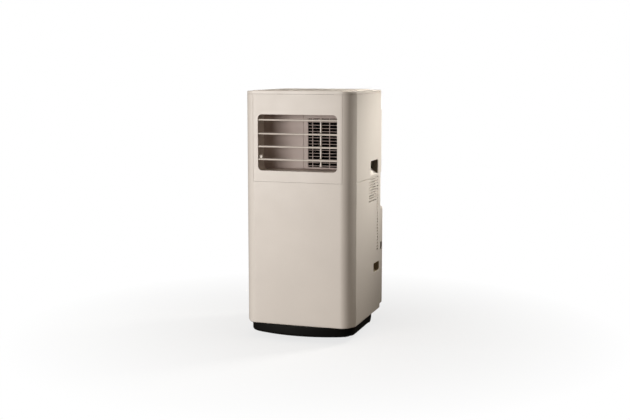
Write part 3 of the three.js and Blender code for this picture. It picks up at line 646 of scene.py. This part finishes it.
def build_handles():
    """Scooped grips: a pale slanted floor below, and a pocket for the fingertips above in the dark recess
    colour, which is painted shade.
    """
    back, low, high = HANDLE["depth"], HANDLE["low"], HANDLE["high"]
    face = CUP_FACE
    wall = 2.5
    roof = 506.5
    scoop = [(face + 1, low), (face - 4, low + 2.6), (face - 9, low + 6.4)]
    scoop += arc(back + 9, 474, 9, 9, 230, 180, 6)
    scoop += arc(back + 6, roof - 6, 6, 6, 180, 90, 6)
    scoop += [(face - 9, roof), (face - 6, roof - 3.5), (face - 5, high + 1), (face - 3, high),
              (face + 1, high)]
    shape = rounded_rect(HANDLE["front"] - wall, HANDLE["rear"] + wall, low - wall, roof + wall, 5)
    for name, side in SIDES:
        outer = prism("x", shape, *sorted((side * (back - wall), side * face)))
        inner = prism("y", [(side * u, v) for u, v in scoop], HANDLE["front"], HANDLE["rear"])
        cup = soften(cut(outer, inner), 1.0, 3)
        # painted shade: the grip's cup takes the dark recess colour for the shadow in its pocket; its low
        # faces keep the casing white
        place(f"handle_cup_{name}_scoop", cup, "unit", "recess", f"handle_cup_{name}")
        paint_low_faces(cup, "casing", LIP_TOP)


def build_cord_inlet():
    """A shallow cup low on the right side, with a rubber bush for the cord in its back wall."""
    depth = CORD_CUP["depth"]
    mid_y = (CORD_CUP["front"] + CORD_CUP["rear"]) / 2
    mid_z = (CORD_CUP["low"] + CORD_CUP["high"]) / 2
    cup = cut(
        prism("x", opening(CORD_CUP, 2, 7), depth - 2, CUP_FACE),
        prism("x", opening(CORD_CUP, 0, 5), depth, CUP_FACE + 1),
        rod("x", 6.3, depth - 12, depth + 8, mid_y, mid_z),
    )
    # painted shade: the cup's brown look stands in for the casing's colour in shadow
    place("cord_recess_cup", soften(cup, 0.8, 3), "unit", "recess", "cord_recess", look="cord_cup_painted_shade")

    start = depth - 4
    profile = [(3.6, 0), (6, 0), (6, 4.1), (8.5, 4.3), (8.5, 6.2), (7.8, 7), (5.6, 7.4), (5.2, 8.6),
               (4.6, 9), (3.6, 9)]
    gland = turned("x", [(r, start + h) for r, h in profile], mid_y, mid_z, closed=True)
    place("cord_gland_bush", soften(gland, 0.3), "unit", "rubber", "cord_gland")


# ---- Top cover and controls ----

def lid_slab(top):
    """The lid's outline from its foot up to top, with a rounded upper edge."""
    edge = 2.4
    return slab(casing_outline, [(0, LID_Z), (0, top - edge), (edge * 0.12, top - edge * 0.5),
                                 (edge * 0.42, top - edge * 0.14), (edge, top)])


def build_top():
    """The lid: raised between low shoulders, with a ledge for the panel and a finger groove in each side."""
    half, front, rear = PANEL["half"], PANEL["front"], PANEL["rear"]
    above = FAR * 2
    raised = common(lid_slab(TOP_Z), block(-FASCIA_HALF, FASCIA_HALF, -FAR, 120, 0, above))
    groove_low, groove_high = LID_Z + 1.5, LID_Z + 4.5
    lid = cut(
        join(lid_slab(SHOULDER_Z), raised),
        block(-150, 150, -50, 138, LID_Z - 1, SHOULDER_Z - WALL),
        prism("z", rounded_rect(-half, half, front, rear, 3), PANEL["ledge"], above),
        block(-half + 3, half - 3, front + 3, rear - 3, LID_Z - 1, above),
        *[block(*sorted((side * (HALF_WIDTH - 2), side * (HALF_WIDTH + 1))), 6, 128, groove_low, groove_high)
          for _, side in SIDES],
    )
    place("top_cover_lid", soften(lid, 0.5), "unit", "lid", "top_cover")


def build_panel():
    """The dark control panel: a plate on the lid's ledge with a well below, a pocket and six key holes."""
    half, front, rear = PANEL["half"], PANEL["front"], PANEL["rear"]
    ledge, bottom = PANEL["ledge"], PANEL["bottom"]
    plate = prism("z", rounded_rect(-half + SEAM, half - SEAM, front + SEAM, rear - SEAM, 2.6),
                  ledge + 0.3, PANEL["top"])
    walls = block(-half + 4, half - 4, front + 4, rear - 4, bottom, ledge + 1)
    inside = block(-half + 6, half - 6, front + 6, rear - 6, bottom - 1, ledge + 1.2)
    holes = [rod("z", 6.4, 695, TOP_Z, x, BUTTON_Y) for x in BUTTON_X]
    stems = [rod("z", 4, 690, TOP_Z, x, BUTTON_Y, 24) for x in BUTTON_X]
    pocket = prism("z", rounded_rect(-30, 30, -98, -70, 2), 696.2, TOP_Z)
    panel = cut(join(plate, walls), inside, pocket, *holes, *stems)
    place("control_panel_plate", soften(panel, 0.3), "unit", "black_plastic", "control_panel", look="panel")


def window_outline(inset):
    """The display window in plan."""
    return rounded_rect(-29.7 + inset, 29.7 - inset, -97.7 + inset, -70.3 - inset, 2 - inset / 2)


def build_window_and_keys():
    """The display window and the six dished keys, each with its mark and its own body."""
    window = slab(window_outline, [(0, 696.5), (0, 698.6), (0.2, 698.9), (0.5, 699)])
    place("display_window_pane", soften(window, 0), "unit", "display", "display_window")

    key = [(6.0, 696.0), (6.0, 698.4), (5.9, 698.9), (5.5, 699.4), (4.9, 699.6), (3.0, 699.35), (0.4, 699.2)]
    for name, x in zip(BUTTON_NAMES, BUTTON_X):
        cap = join(turned("z", key, x, BUTTON_Y), rod("z", 3.6, 691, 696.5, x, BUTTON_Y, 24))
        place(f"key_{name}", soften(cap, 0), f"button_{name}", "button", f"button_{name}")
        place(f"key_{name}_mark", soften(together(*key_mark(name, x)), 0), f"button_{name}",
              "black_plastic", look="panel")


def key_mark(name, x):
    """The flat sign on a key, a plain everyday symbol for each."""
    low, high, y = 698.9, 699.5, BUTTON_Y

    def disc(radius, u=0.0, v=0.0):
        return rod("z", radius, low, high, x + u, y + v, 24)

    def bar(u0, u1, v0, v1):
        return block(x + u0, x + u1, y + v0, y + v1, low, high)

    def chevron(sign):
        points = [(-2.2, -1.0), (-1.6, -1.6), (0, 0), (1.6, -1.6), (2.2, -1.0), (0, 1.2)]
        return prism("z", [(x + sign * u, y + sign * v) for u, v in points], low, high)

    if name == "power":
        return [cut(disc(2.2), disc(1.7), bar(-0.7, 0.7, 0, 3)), bar(-0.25, 0.25, 0.3, 2.6)]
    if name == "mode":
        return [disc(0.7), *[disc(0.45, 2 * math.cos(t), 2 * math.sin(t)) for t in (0.5, 2.6, 4.7)]]
    if name == "fan":
        return [bar(-2.1, 2.1, v, v + 0.5) for v in (-1.6, -0.25, 1.1)]
    if name == "timer":
        return [cut(disc(2.2), disc(1.7)), bar(-0.25, 0.25, 0, 1.5), bar(0.25, 1.2, -0.25, 0.25)]
    return [chevron(1 if name == "up" else -1)]


# ---- Air outlet ----

def build_fascia():
    """The front's upper panel, with a sleeve behind its mouth that holds the louver pivots."""
    width = FASCIA_HALF - SEAM
    panel = common(wall_ring(SEAM_Z + SEAM, LID_Z - SEAM), block(-width, width, -FAR, FASCIA_CUT_Y, 0, TOP_Z))
    half = OUTLET_HALF + WALL
    sleeve = prism("y", rounded_rect(-half, half, OUTLET_LOW - WALL, OUTLET_HIGH + WALL, 14, 12),
                   FRONT_Y + 1.5, SLEEVE_BACK_Y)
    mouth = prism("y", rounded_rect(-OUTLET_HALF, OUTLET_HALF, OUTLET_LOW, OUTLET_HIGH, 12, 12), -FAR, -100)
    pivots = [rod("x", 2.3, -125, 125, LOUVER_Y, z, 20) for z in LOUVER_Z]
    fascia = cut(join(panel, sleeve), mouth, *pivots)
    place("outlet_fascia_panel", soften(fascia, 0.9, 3), "unit", "casing", "outlet_fascia")


def blade_section(z):
    """A louver blade's section in (Y, Z): a round nose, a bowed back and a thin trailing edge."""
    nose = arc(-11.5, 0, 2.5, 2.5, 270, 90, 12)
    top = bezier((-11.5, 2.5), (-5, 2.7), (4, 2.0), (11.5, 0.7), 10)[1:]
    under = bezier((11.5, -0.7), (4, -1.6), (-5, -2.3), (-11.5, -2.5), 10)[:-1]
    return [(LOUVER_Y + u, z + v) for u, v in nose + top + under]


def build_louvers():
    """Four blades on pins, each with a crank for the link, and a finger tab on the lowest."""
    half = OUTLET_HALF - 1.2
    crank = LOUVER_Y + CRANK
    for i, z in enumerate(LOUVER_Z, 1):
        lug = rounded_rect(LOUVER_Y + 8, crank + 3, z - 2.8, z + 2.8, 2.7, 6)
        blade = join(
            prism("x", blade_section(z), -half, half),
            *[rod("x", 3.6, s * half - 0.8, s * half + 0.8, LOUVER_Y, z, 24) for s in (1, -1)],
            rod("x", 2, -OUTLET_HALF - 1.8, OUTLET_HALF + 1.8, LOUVER_Y, z, 20),
            prism("x", lug, LINK_X - 3, LINK_X - 1),
            rod("x", 1.4, LINK_X - 2, LINK_X + 4, crank, z, 16),
        )
        if z == LOUVER_Z[-1]:
            tab = prism("x", rounded_rect(LOUVER_Y - 8, LOUVER_Y + 4, z + 1, z + 12, 3, 6), -half, -half + 9)
            blade = join(blade, tab)
        place(f"louver_{i}_blade", soften(blade, 0.25), f"louver_{i}", "louver", f"louver_{i}")


def build_link():
    """The upright bar that ties the blades' cranks together, with a foot that shows below them."""
    crank = LOUVER_Y + CRANK
    low, high = LOUVER_Z[-1] - 19, LOUVER_Z[0] + 5
    bar = prism("x", rounded_rect(crank - 3, crank + 4, low, high, 2.5, 6), LINK_X, LINK_X + 3)
    foot = block(LINK_X - 1, LINK_X + 4, crank - 4, crank + 5, low, low + 4)
    bosses = [rod("x", 3.1, LINK_X - 0.5, LINK_X + 3.6, crank, z, 20) for z in LOUVER_Z]
    holes = [rod("x", 1.9, LINK_X - 5, LINK_X + 8, crank, z, 16) for z in LOUVER_Z]
    link = cut(join(bar, foot, *bosses), *holes)
    place("louver_link_bar", soften(link, 0.3), "louver_link", "louver", "louver_link")


def duct_plan(grow, front, back):
    """The duct in plan: a curved wall on the left leads the air out of the throat on the right."""
    right = OUTLET_HALF + grow
    throat = THROAT_X - grow
    centre_y = SLEEVE_BACK_Y + SEAM
    reach_x = THROAT_X + OUTLET_HALF + grow
    reach_y = THROAT_Y - centre_y + grow
    start = math.degrees(math.acos(-grow / reach_x))
    return ([(right, front), (right, back), (throat, back)]
            + arc(THROAT_X, centre_y, reach_x, reach_y, start, 180, 28) + [(-OUTLET_HALF - grow, front)])


def build_duct():
    front = SLEEVE_BACK_Y + SEAM
    outer = prism("z", duct_plan(SHEET, front, DUCT_BACK_Y), OUTLET_LOW - SHEET, OUTLET_HIGH + SHEET)
    inner = prism("z", duct_plan(0, front - 1, DUCT_BACK_Y + 1), OUTLET_LOW, OUTLET_HIGH)
    # painted shade: the duct wall takes the duct plastic's darkened tone
    place("outlet_duct_shell", soften(cut(outer, inner), 0.5), "unit", "duct", "outlet_duct")


def build_guard():
    """The wire guard across the duct's throat."""
    left, right = THROAT_X + 0.3, OUTLET_HALF - 0.3
    low, high = OUTLET_LOW + 0.3, OUTLET_HIGH - 0.3
    y = THROAT_Y + 2.2
    band = 13
    pitch = 8.8
    edge = cut(block(left, right, y - 1.2, y + 1.8, low, high),
               prism("y", rounded_rect(left + band, right - 3, low + 4, high - band, 3), -FAR, 0))
    wires = []
    z = low + 8.5
    while z < high - band:
        wires.append(rod("x", 0.85, left + 2, right - 2, y - 0.6, z, 12))
        z += pitch
    ribs = [rod("z", 1.2, low + 2, high - 2, x, y - 0.2, 12) for x in (15, 65)]
    # painted shade: the guard wires take the duct plastic's darkened tone
    place("outlet_guard_wires", soften(join(edge, *wires, *ribs), 0), "unit", "duct", "outlet_grille")


# ---- Rear covers and ports ----

def slatted_cover(cover, rear):
    """A shallow rear cover as its dished shell, its rows of slanted slats and its upright ribs."""
    low, high = cover["low"], cover["high"]
    half = 155
    front = REAR_Y + 0.4
    edge = 4
    pitch = 8
    border = 14

    def frame_outline(inset, radius):
        return rounded_rect(-half + inset, half - inset, low + inset, high - inset, radius)

    dish = [(0, front), (0, rear - edge), (edge * 0.13, rear - edge * 0.5), (edge * 0.45, rear - edge * 0.13),
            (edge, rear)]
    shape = loops_to_mesh([[(u, y, v) for u, v in frame_outline(i, 8 - i / 2)] for i, y in dish])
    shell = cut(
        shape,
        prism("y", frame_outline(SHEET, 6), front - 1, rear - WALL),
        prism("y", frame_outline(border, 5), front, rear + 1),
    )
    reach = border - 1
    slats = []
    z = low + 16
    while z < high - 17:
        blade = [(rear - 8, z - 0.9), (rear - 1, z + 1.4), (rear - 0.6, z + 2.6), (rear - 1.2, z + 3),
                 (rear - 8, z + 0.9)]
        slats.append(prism("x", blade, -half + reach, half - reach))
        z += pitch
    ribs = [block(x - 1, x + 1, rear - 7, rear - 2.2, low + reach, high - reach)
            for x in (-94, -47, 0, 47, 94)]
    return shell, slats, ribs


def build_upper_cover():
    """The hinged upper cover, with two hinge pins below and a finger pull above."""
    low, high = UPPER_COVER["low"], UPPER_COVER["high"]
    rear = UPPER_COVER_Y
    shell, slats, ribs = slatted_cover(UPPER_COVER, rear)
    shell = cut(shell, block(-156, 156, 149, HINGE["y"], low - 1, HINGE["z"]))
    pins = [rod("x", HINGE["pin"], s * 145 - 9, s * 145 + 9, HINGE["y"], HINGE["z"], 20) for s in (1, -1)]
    pull = cut(block(-24, 24, rear - 6, rear - 1.5, high - 13, high - 4),
               prism("y", rounded_rect(-20, 20, high - 11.5, high - 5.5, 2.5), rear - 4.5, rear))
    shell = cut(shell, prism("y", rounded_rect(-22, 22, high - 12.2, high - 4.8, 3), rear - 3, rear + 1))
    cover = join(soften(join(shell, *pins), 0.5), pull, *ribs, *slats)
    place("upper_intake_cover_slats", soften(cover, 0, angle=30), "intake_cover", "casing",
          "upper_intake_cover")


def build_lower_cover():
    """The fixed lower cover, with a finger notch in each edge, a pocket behind it in the dark recess colour
    as painted shade, and four screws.
    """
    low, high = LOWER_COVER["low"], LOWER_COVER["high"]
    rear = LOWER_COVER_Y
    shell, slats, ribs = slatted_cover(LOWER_COVER, rear)
    notch = cut(prism("x", opening(FINGER_NOTCH, 0, 5), -FAR, FAR), block(-150, 150, 0, FAR, 0, FAR * 2))
    cover = join(soften(cut(shell, notch), 0.5), *ribs, *slats)
    place("lower_intake_cover_slats", soften(cover, 0, angle=30), "unit", "casing", "lower_intake_cover")
    wall = 1.5
    for name, side in SIDES:
        outer = block(*sorted((side * 146.5, side * 152.6)),
                      FINGER_NOTCH["front"] - wall, FINGER_NOTCH["rear"] + wall,
                      FINGER_NOTCH["low"] - wall, FINGER_NOTCH["high"] + wall)
        inner = prism("x", opening(FINGER_NOTCH, 0, 5), *sorted((side * 148, side * 154)))
        # painted shade: a dark pocket piece behind each finger notch stands in for the shadow there
        place(f"cover_pocket_painted_shade_{name}", soften(cut(outer, inner), 0.4), "unit", "recess")
    spots = [(x, z) for z in (low + 8, high - 8) for x in (-146, 146)]
    for i, (x, z) in enumerate(spots, 1):
        place(f"cover_screw_{i}", screw(x, z, rear - 0.7), "unit", "motor_steel")


def screw(x, z, top):
    """A domed cross-head screw that faces the rear, its head standing on the surface at top."""
    radius = 2.6
    dome = [(radius, top - 1.4), (radius, top - 0.4), (radius * 0.8, top + 0.1), (radius * 0.4, top + 0.4)]
    arms = [(radius * 0.55, 0.35), (0.35, radius * 0.55)]
    slots = [prism("y", rounded_rect(x - a, x + a, z - b, z + b, 0.2, 3), top - 0.5, top + 1)
             for a, b in arms]
    return soften(cut(turned("y", dome, x, z, 28), *slots), 0, angle=30)


def build_filter():
    """The upper filter: a framed net with bars and rails, which rides with the hinged cover."""
    front, rear = 153.4, 156.6
    edge = cut(prism("y", rounded_rect(-141, 141, 464, 628, 4), 153, 157),
               prism("y", rounded_rect(-137, 137, 468, 624, 3), 152, 158))
    bars = [prism("y", rounded_rect(x - 1, x + 1, 466, 626, 0.6, 3), front, rear)
            for x in (-92, -46, 0, 46, 92)]
    rails = [prism("y", rounded_rect(-139, 139, z - 1, z + 1, 0.6, 3), front, rear)
             for z in (506, 546, 586)]
    net = block(-138, 138, 154.7, 155.3, 467, 625)
    place("upper_filter_frame", soften(join(edge, *bars, *rails, net), 0, angle=30), "intake_cover",
          "filter", "upper_filter")


def build_exhaust_port():
    """The warm air's way out: a collar with rails for the hose adapter, and a wire guard inside."""
    half, low, high = PORT["half"], PORT["low"], PORT["high"]
    sleeve = prism("y", rounded_rect(-half - 2, half + 2, low - 2, high + 2, 3), 120, 166)
    flange = prism("y", rounded_rect(-half - 9, half + 9, low - 9, high + 9, 6), REAR_Y + 0.3, REAR_Y + 3.3)
    rails = [block(-half - 8, half + 8, REAR_Y + 3, REAR_Y + 7, z, z + 1.8) for z in (low - 8.8, high + 7)]
    port = cut(join(sleeve, flange, *rails), prism("y", rounded_rect(-half, half, low, high, 1.5), 0, FAR))
    place("exhaust_port_collar", soften(port, 0.5), "unit", "casing", "exhaust_port")

    x, z0, z1 = half - 0.3, low + 0.3, high - 0.3
    edge = cut(block(-x, x, 130, 134, z0, z1), block(-x + 2.5, x - 2.5, 129, 135, z0 + 2.5, z1 - 2.5))
    uprights = [rod("z", 1, z0 + 1, z1 - 1, u, 132.6, 10) for u in (-56, -28, 0, 28, 56)]
    levels = [rod("x", 1, -x + 1, x - 1, 131.4, z0 + 8 + 8.2 * k, 10) for k in range(7)]
    place("exhaust_guard_wires", soften(join(edge, *uprights, *levels), 0), "unit", "black_plastic",
          "exhaust_grille")


def drain_cap(x, y, z):
    """A rubber plug with a ribbed stem, a domed cap and a pull tab."""
    profile = [(4.2, -7), (5, -6.2), (4.5, -5.2), (5, -4.2), (4.5, -3.2), (5, -2.2), (4.7, 0), (9, 0),
               (9, 1.2), (8.2, 2.2), (6.6, 2.6), (0.5, 2.7)]
    cap = turned("y", [(r, y + h) for r, h in profile], x, z, 40)
    tab = prism("y", rounded_rect(x - 6, x + 6, z - 1.2, z + 1.2, 1.1, 5), y + 2, y + 7)
    return soften(join(cap, tab), 0, angle=35)


def build_drains():
    for name, spot in DRAINS.items():
        place(f"drain_cap_{name}_plug", drain_cap(*spot), f"drain_plug_{name}", "rubber",
              f"drain_cap_{name}")


# ---- Base and casters ----

def build_base():
    """The black base: a bowed skirt, a rim inside the casing, a drip well and bays for the casters."""
    under, floor, well_top = 15, 20, 46
    round_edge = [(5, 16), (2.6, 16.5), (1.1, 18), (0.3, 20.5), (0, 24), (0, 40.5), (0.5, 42.4),
                  (1.6, 43.4), (3, 43.7)]
    skirt = slab(skirt_outline, round_edge)
    rim = slab(casing_outline, [(3, 43), (3, 62)])
    sockets = [rod("z", 9, 43, 58, x, y, 32) for x, y in CASTERS]
    drain_x, _, drain_z = DRAINS["lower"]
    bay = 38
    shell = cut(
        join(skirt, rim),
        slab(casing_outline, [(5.5, 45), (5.5, 63)]),
        prism("z", rounded_rect(-62, 62, -20, 138, 4), floor, well_top),
        prism("z", rounded_rect(-146, 146, -20, 54, 4), floor, well_top),
        prism("z", rounded_rect(-66, 66, -136, -24, 6), under, WHEEL_BAY_Z),
        block(84, 170, 62, 160, under, WHEEL_BAY_Z),
        block(-170, -84, 62, 160, under, WHEEL_BAY_Z),
        rod("y", DRAIN_BORE, 130, 150, drain_x, drain_z, 32),
        *[prism("z", rounded_rect(x - bay, x + bay, y - bay, y + bay, 8), under, WHEEL_BAY_Z)
          for x, y in CASTERS[:2]],
    )
    holes = [rod("z", 4.3, 36, 55, x, y, 24) for x, y in CASTERS]
    base = cut(join(shell, *sockets), *holes)
    place("base_pan_moulding", soften(base, 0.6), "unit", "black_plastic", "base_pan")


def caster_fork(x, y, axle_y):
    """A swivel stem over a crown with two cheeks, and the axle between them."""
    inner, outer = 11.6, 13.6
    crown = arc(x, y, outer, outer, 180, 360, 16) + [(x + outer, axle_y + 9), (x - outer, axle_y + 9)]
    leg = ([(y + 2, 38), (axle_y - 8, WHEEL_RADIUS + 1)]
           + arc(axle_y, WHEEL_RADIUS, 7, 7, 190, 350, 12) + [(axle_y + 9, 38)])
    return join(
        rod("z", 4, 39, 54, x, y, 32),
        prism("z", crown, 37.4, 40.2),
        prism("x", leg, x + inner, x + outer),
        prism("x", leg, x - outer, x - inner),
        rod("x", 3, x - outer, x + outer, axle_y, WHEEL_RADIUS, 24),
    )


def caster_wheel(x, axle_y):
    """A hub and a rounded tread with a thin web and six spokes."""
    profile = [(3.3, -9), (6, -9), (6, -6), (13, -6), (14, -11), (16.2, -11), (17.4, -10), (18, -8.2)]
    profile += [(radius, -height) for radius, height in reversed(profile)]
    spokes = []
    for k in range(6):
        spoke = block(x - 8, x + 8, axle_y - 0.9, axle_y + 0.9, WHEEL_RADIUS + 5, WHEEL_RADIUS + 14.5)
        spokes.append(turned_about_x(spoke, 60 * k, axle_y, WHEEL_RADIUS))
    wheel = turned("x", [(r, x + h) for r, h in profile], axle_y, WHEEL_RADIUS, 56, closed=True)
    return join(wheel, *spokes)


def build_casters():
    for i, (x, y) in enumerate(CASTERS, 1):
        axle_y = y + TRAIL
        place(f"caster_{i}_fork", soften(caster_fork(x, y, axle_y), 0.4), f"caster_{i}",
              "black_plastic", f"caster_fork_{i}")
        place(f"wheel_{i}_tread", soften(caster_wheel(x, axle_y), 0.2), f"wheel_{i}",
              "caster_tread", f"caster_wheel_{i}")


# ---- Inside ----

def fin_coil(half, front, back, low, high, foot):
    """A heat exchanger: thin upright fins between two end plates, with tubes and their return bends."""
    fin, fin_pitch = 0.5, 3.2
    fins = []
    x = -half + 4
    while x < half - 3:
        fins.append(block(x, x + fin, front, back, low, high))
        x += fin_pitch
    plates = [block(x0, x0 + 2, front - 1.5, back + 1.5, foot, high + 2) for x0 in (-half, half - 2)]
    mid = (front + back) / 2
    tube_pitch = 16
    bend = tube_pitch / 2
    tubes = []
    z = low + 12
    while z < high - 10:
        tubes.append(rod("x", 3.6, -half - 1, half + 0.5, mid, z, 14))
        z += tube_pitch
    bends = []
    z = low + 12
    while z + tube_pitch < high - 8:
        path = [(-half - bend * math.sin(t), mid, z + bend - bend * math.cos(t))
                for t in [math.pi * k / 10 for k in range(11)]]
        bends.append(tube(path, 3.5))
        z += 2 * tube_pitch
    return together(*fins, *plates, *tubes, *bends)


def build_coils():
    condenser = fin_coil(half=128, front=96, back=128, low=66, high=330, foot=58.3)
    place("condenser_coil_fins", soften(condenser, 0), "unit", "coil_fins", "condenser_coil")
    evaporator = fin_coil(half=118, front=72, back=104, low=462, high=634, foot=441.3)
    place("evaporator_coil_fins", soften(evaporator, 0), "unit", "coil_fins", "evaporator_coil")


def dress_hidden_nodes():
    """The inner pieces keep their CAD shape, shaded smooth, and take the materials listed below."""
    looks = {
        "painted_steel": ("compressor", "accumulator"),
        "motor_steel": ("blower_motor", "exhaust_fan_motor", "splash_motor", "run_capacitor"),
        "copper": ("suction_pipe", "discharge_pipe"),
        # partly painted shade: the blower's parts are black plastic, also chosen to keep the view through the
        # outlet guard dark
        "black_plastic": ("blower_wheel", "exhaust_fan", "blower_housing"),
        "inner_plastic": ("splash_wheel", "exhaust_fan_housing", "exhaust_duct", "partition_tray",
                          "control_box"),
    }
    for look, nodes in looks.items():
        for node in nodes:
            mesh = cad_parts[node].data
            mesh.materials.clear()
            mesh.materials.append(MATERIALS[look])
            for face in mesh.polygons:
                face.use_smooth = True
            mesh.set_sharp_from_angle(angle=math.radians(32))


# ---- Stage ----

FLOOR_BOUNCE = (92, 82, 70)
FLOOR_TONES = ((240, 239, 237), (244, 243, 241))
AMBIENT = 0.17
AMBIENT_COLOUR = (242, 224, 202)
CAMERA_LENS = 61.35
CAMERA_TILT = 7.53
CAMERA_TURN = 18.15
CAMERA_PLACE = (0.9641, -2.9387 - SET_FORWARD * MM, 0.7605)


def area_light(name, location, target, size, power, colour, spread=180):
    """A soft rectangular light that faces the target, hidden from the camera."""
    data = bpy.data.lights.new(name, "AREA")
    data.shape = "RECTANGLE"
    data.spread = math.radians(spread)
    data.size, data.size_y = size
    data.energy = power
    data.color = colour
    light = bpy.data.objects.new(name, data)
    bpy.context.scene.collection.objects.link(light)
    light.location = location
    light.visible_camera = False
    light.rotation_euler = (Vector(target) - Vector(location)).to_track_quat("-Z", "Y").to_euler()


def build_floor():
    """A pale floor that fades to the white of the room, and sends little light back up to the object."""
    bm = bmesh.new()
    reach = 12
    for corner in ((-reach, -reach), (reach, -reach), (reach, reach), (-reach, reach)):
        bm.verts.new((*corner, 0))
    bm.faces.new(bm.verts[:])
    floor = scratch(bm, "floor")
    n = Nodes("pale_floor")
    n.set(Roughness=0.9, Specular_IOR_Level=0.1)
    seen = n.new("LightPath").outputs["Is Camera Ray"]
    cloud = n.ramp(n.noise(3, 3), 0.3, 0.7)
    n.set(Base_Color=n.mix(seen, FLOOR_BOUNCE, n.mix(cloud, *FLOOR_TONES)))
    distance = n.new("VectorMath")
    distance.operation = "LENGTH"
    n.link(n.place, distance.inputs[0])
    fade = n.ramp(distance.outputs["Value"], 0.25, 0.9, 0.75, 1)
    glow = n.new("Emission")
    mix = n.new("MixShader")
    n.link(n.math("MULTIPLY", fade, seen), mix.inputs["Fac"])
    n.link(n.shader.outputs["BSDF"], mix.inputs[1])
    n.link(glow.outputs["Emission"], mix.inputs[2])
    n.link(mix.outputs["Shader"], n.tree.nodes["Material Output"].inputs["Surface"])
    floor.data.materials.append(n.material)


def build_room():
    """A white room that the camera sees, of which little falls on the object."""
    world = bpy.data.worlds.new("studio")
    bpy.context.scene.world = world
    world.use_nodes = True
    tree = world.node_tree
    link = tree.links.new
    background = tree.nodes["Background"]
    seen = tree.nodes.new("ShaderNodeLightPath").outputs["Is Camera Ray"]
    strength = tree.nodes.new("ShaderNodeMapRange")
    strength.inputs["To Min"].default_value = AMBIENT
    link(seen, strength.inputs["Value"])
    link(strength.outputs["Result"], background.inputs["Strength"])
    tint = tree.nodes.new("ShaderNodeMix")
    tint.data_type = "RGBA"
    tint.inputs["A"].default_value = linear(AMBIENT_COLOUR)
    tint.inputs["B"].default_value = (1, 1, 1, 1)
    link(seen, tint.inputs["Factor"])
    link(tint.outputs["Result"], background.inputs["Color"])


def build_lights():
    """A large key from the front left, a cool rim on the left corner, a narrow light from the rear right
    that falls away down the side, and a soft top light."""
    area_light("key", (-1.5, -3.0, 0.62), (0, -0.1, 0.36), (1.5, 1.2), 78, (1.0, 0.975, 0.955))
    area_light("rim", (-1.8, -0.75, 0.9), (-0.16, -0.15, 0.38), (0.7, 1.2), 6, (0.86, 0.94, 1.0))
    area_light("side", (0.9, 0.82, 1.15), (0.16, 0.06, 0.52), (0.4, 0.4), 1.5, (1.0, 0.985, 0.94),
               spread=38)
    area_light("top", (0.1, 0.1, 2.3), (0, 0, 0), (1.5, 1.5), 9, (1.0, 0.985, 0.965))


def build_camera():
    """A camera to the right of the front and a little above, looking slightly down."""
    data = bpy.data.cameras.new("camera")
    data.lens = CAMERA_LENS
    data.sensor_width = 36
    camera = bpy.data.objects.new("camera", data)
    bpy.context.scene.collection.objects.link(camera)
    camera.location = CAMERA_PLACE
    camera.rotation_euler = (math.radians(90 - CAMERA_TILT), 0, math.radians(CAMERA_TURN))
    bpy.context.scene.camera = camera


build_camera()
for build in (build_front_casing, build_rear_upper, build_rear_lower, build_vent_baffles, build_handles,
              build_cord_inlet, build_top, build_panel, build_window_and_keys, build_fascia, build_louvers,
              build_link, build_duct, build_guard, build_upper_cover, build_lower_cover, build_filter,
              build_exhaust_port, build_drains, build_base, build_casters, build_coils,
              dress_hidden_nodes, build_floor, build_room, build_lights):
    build()
bpy.context.scene.view_settings.view_transform = "Standard"
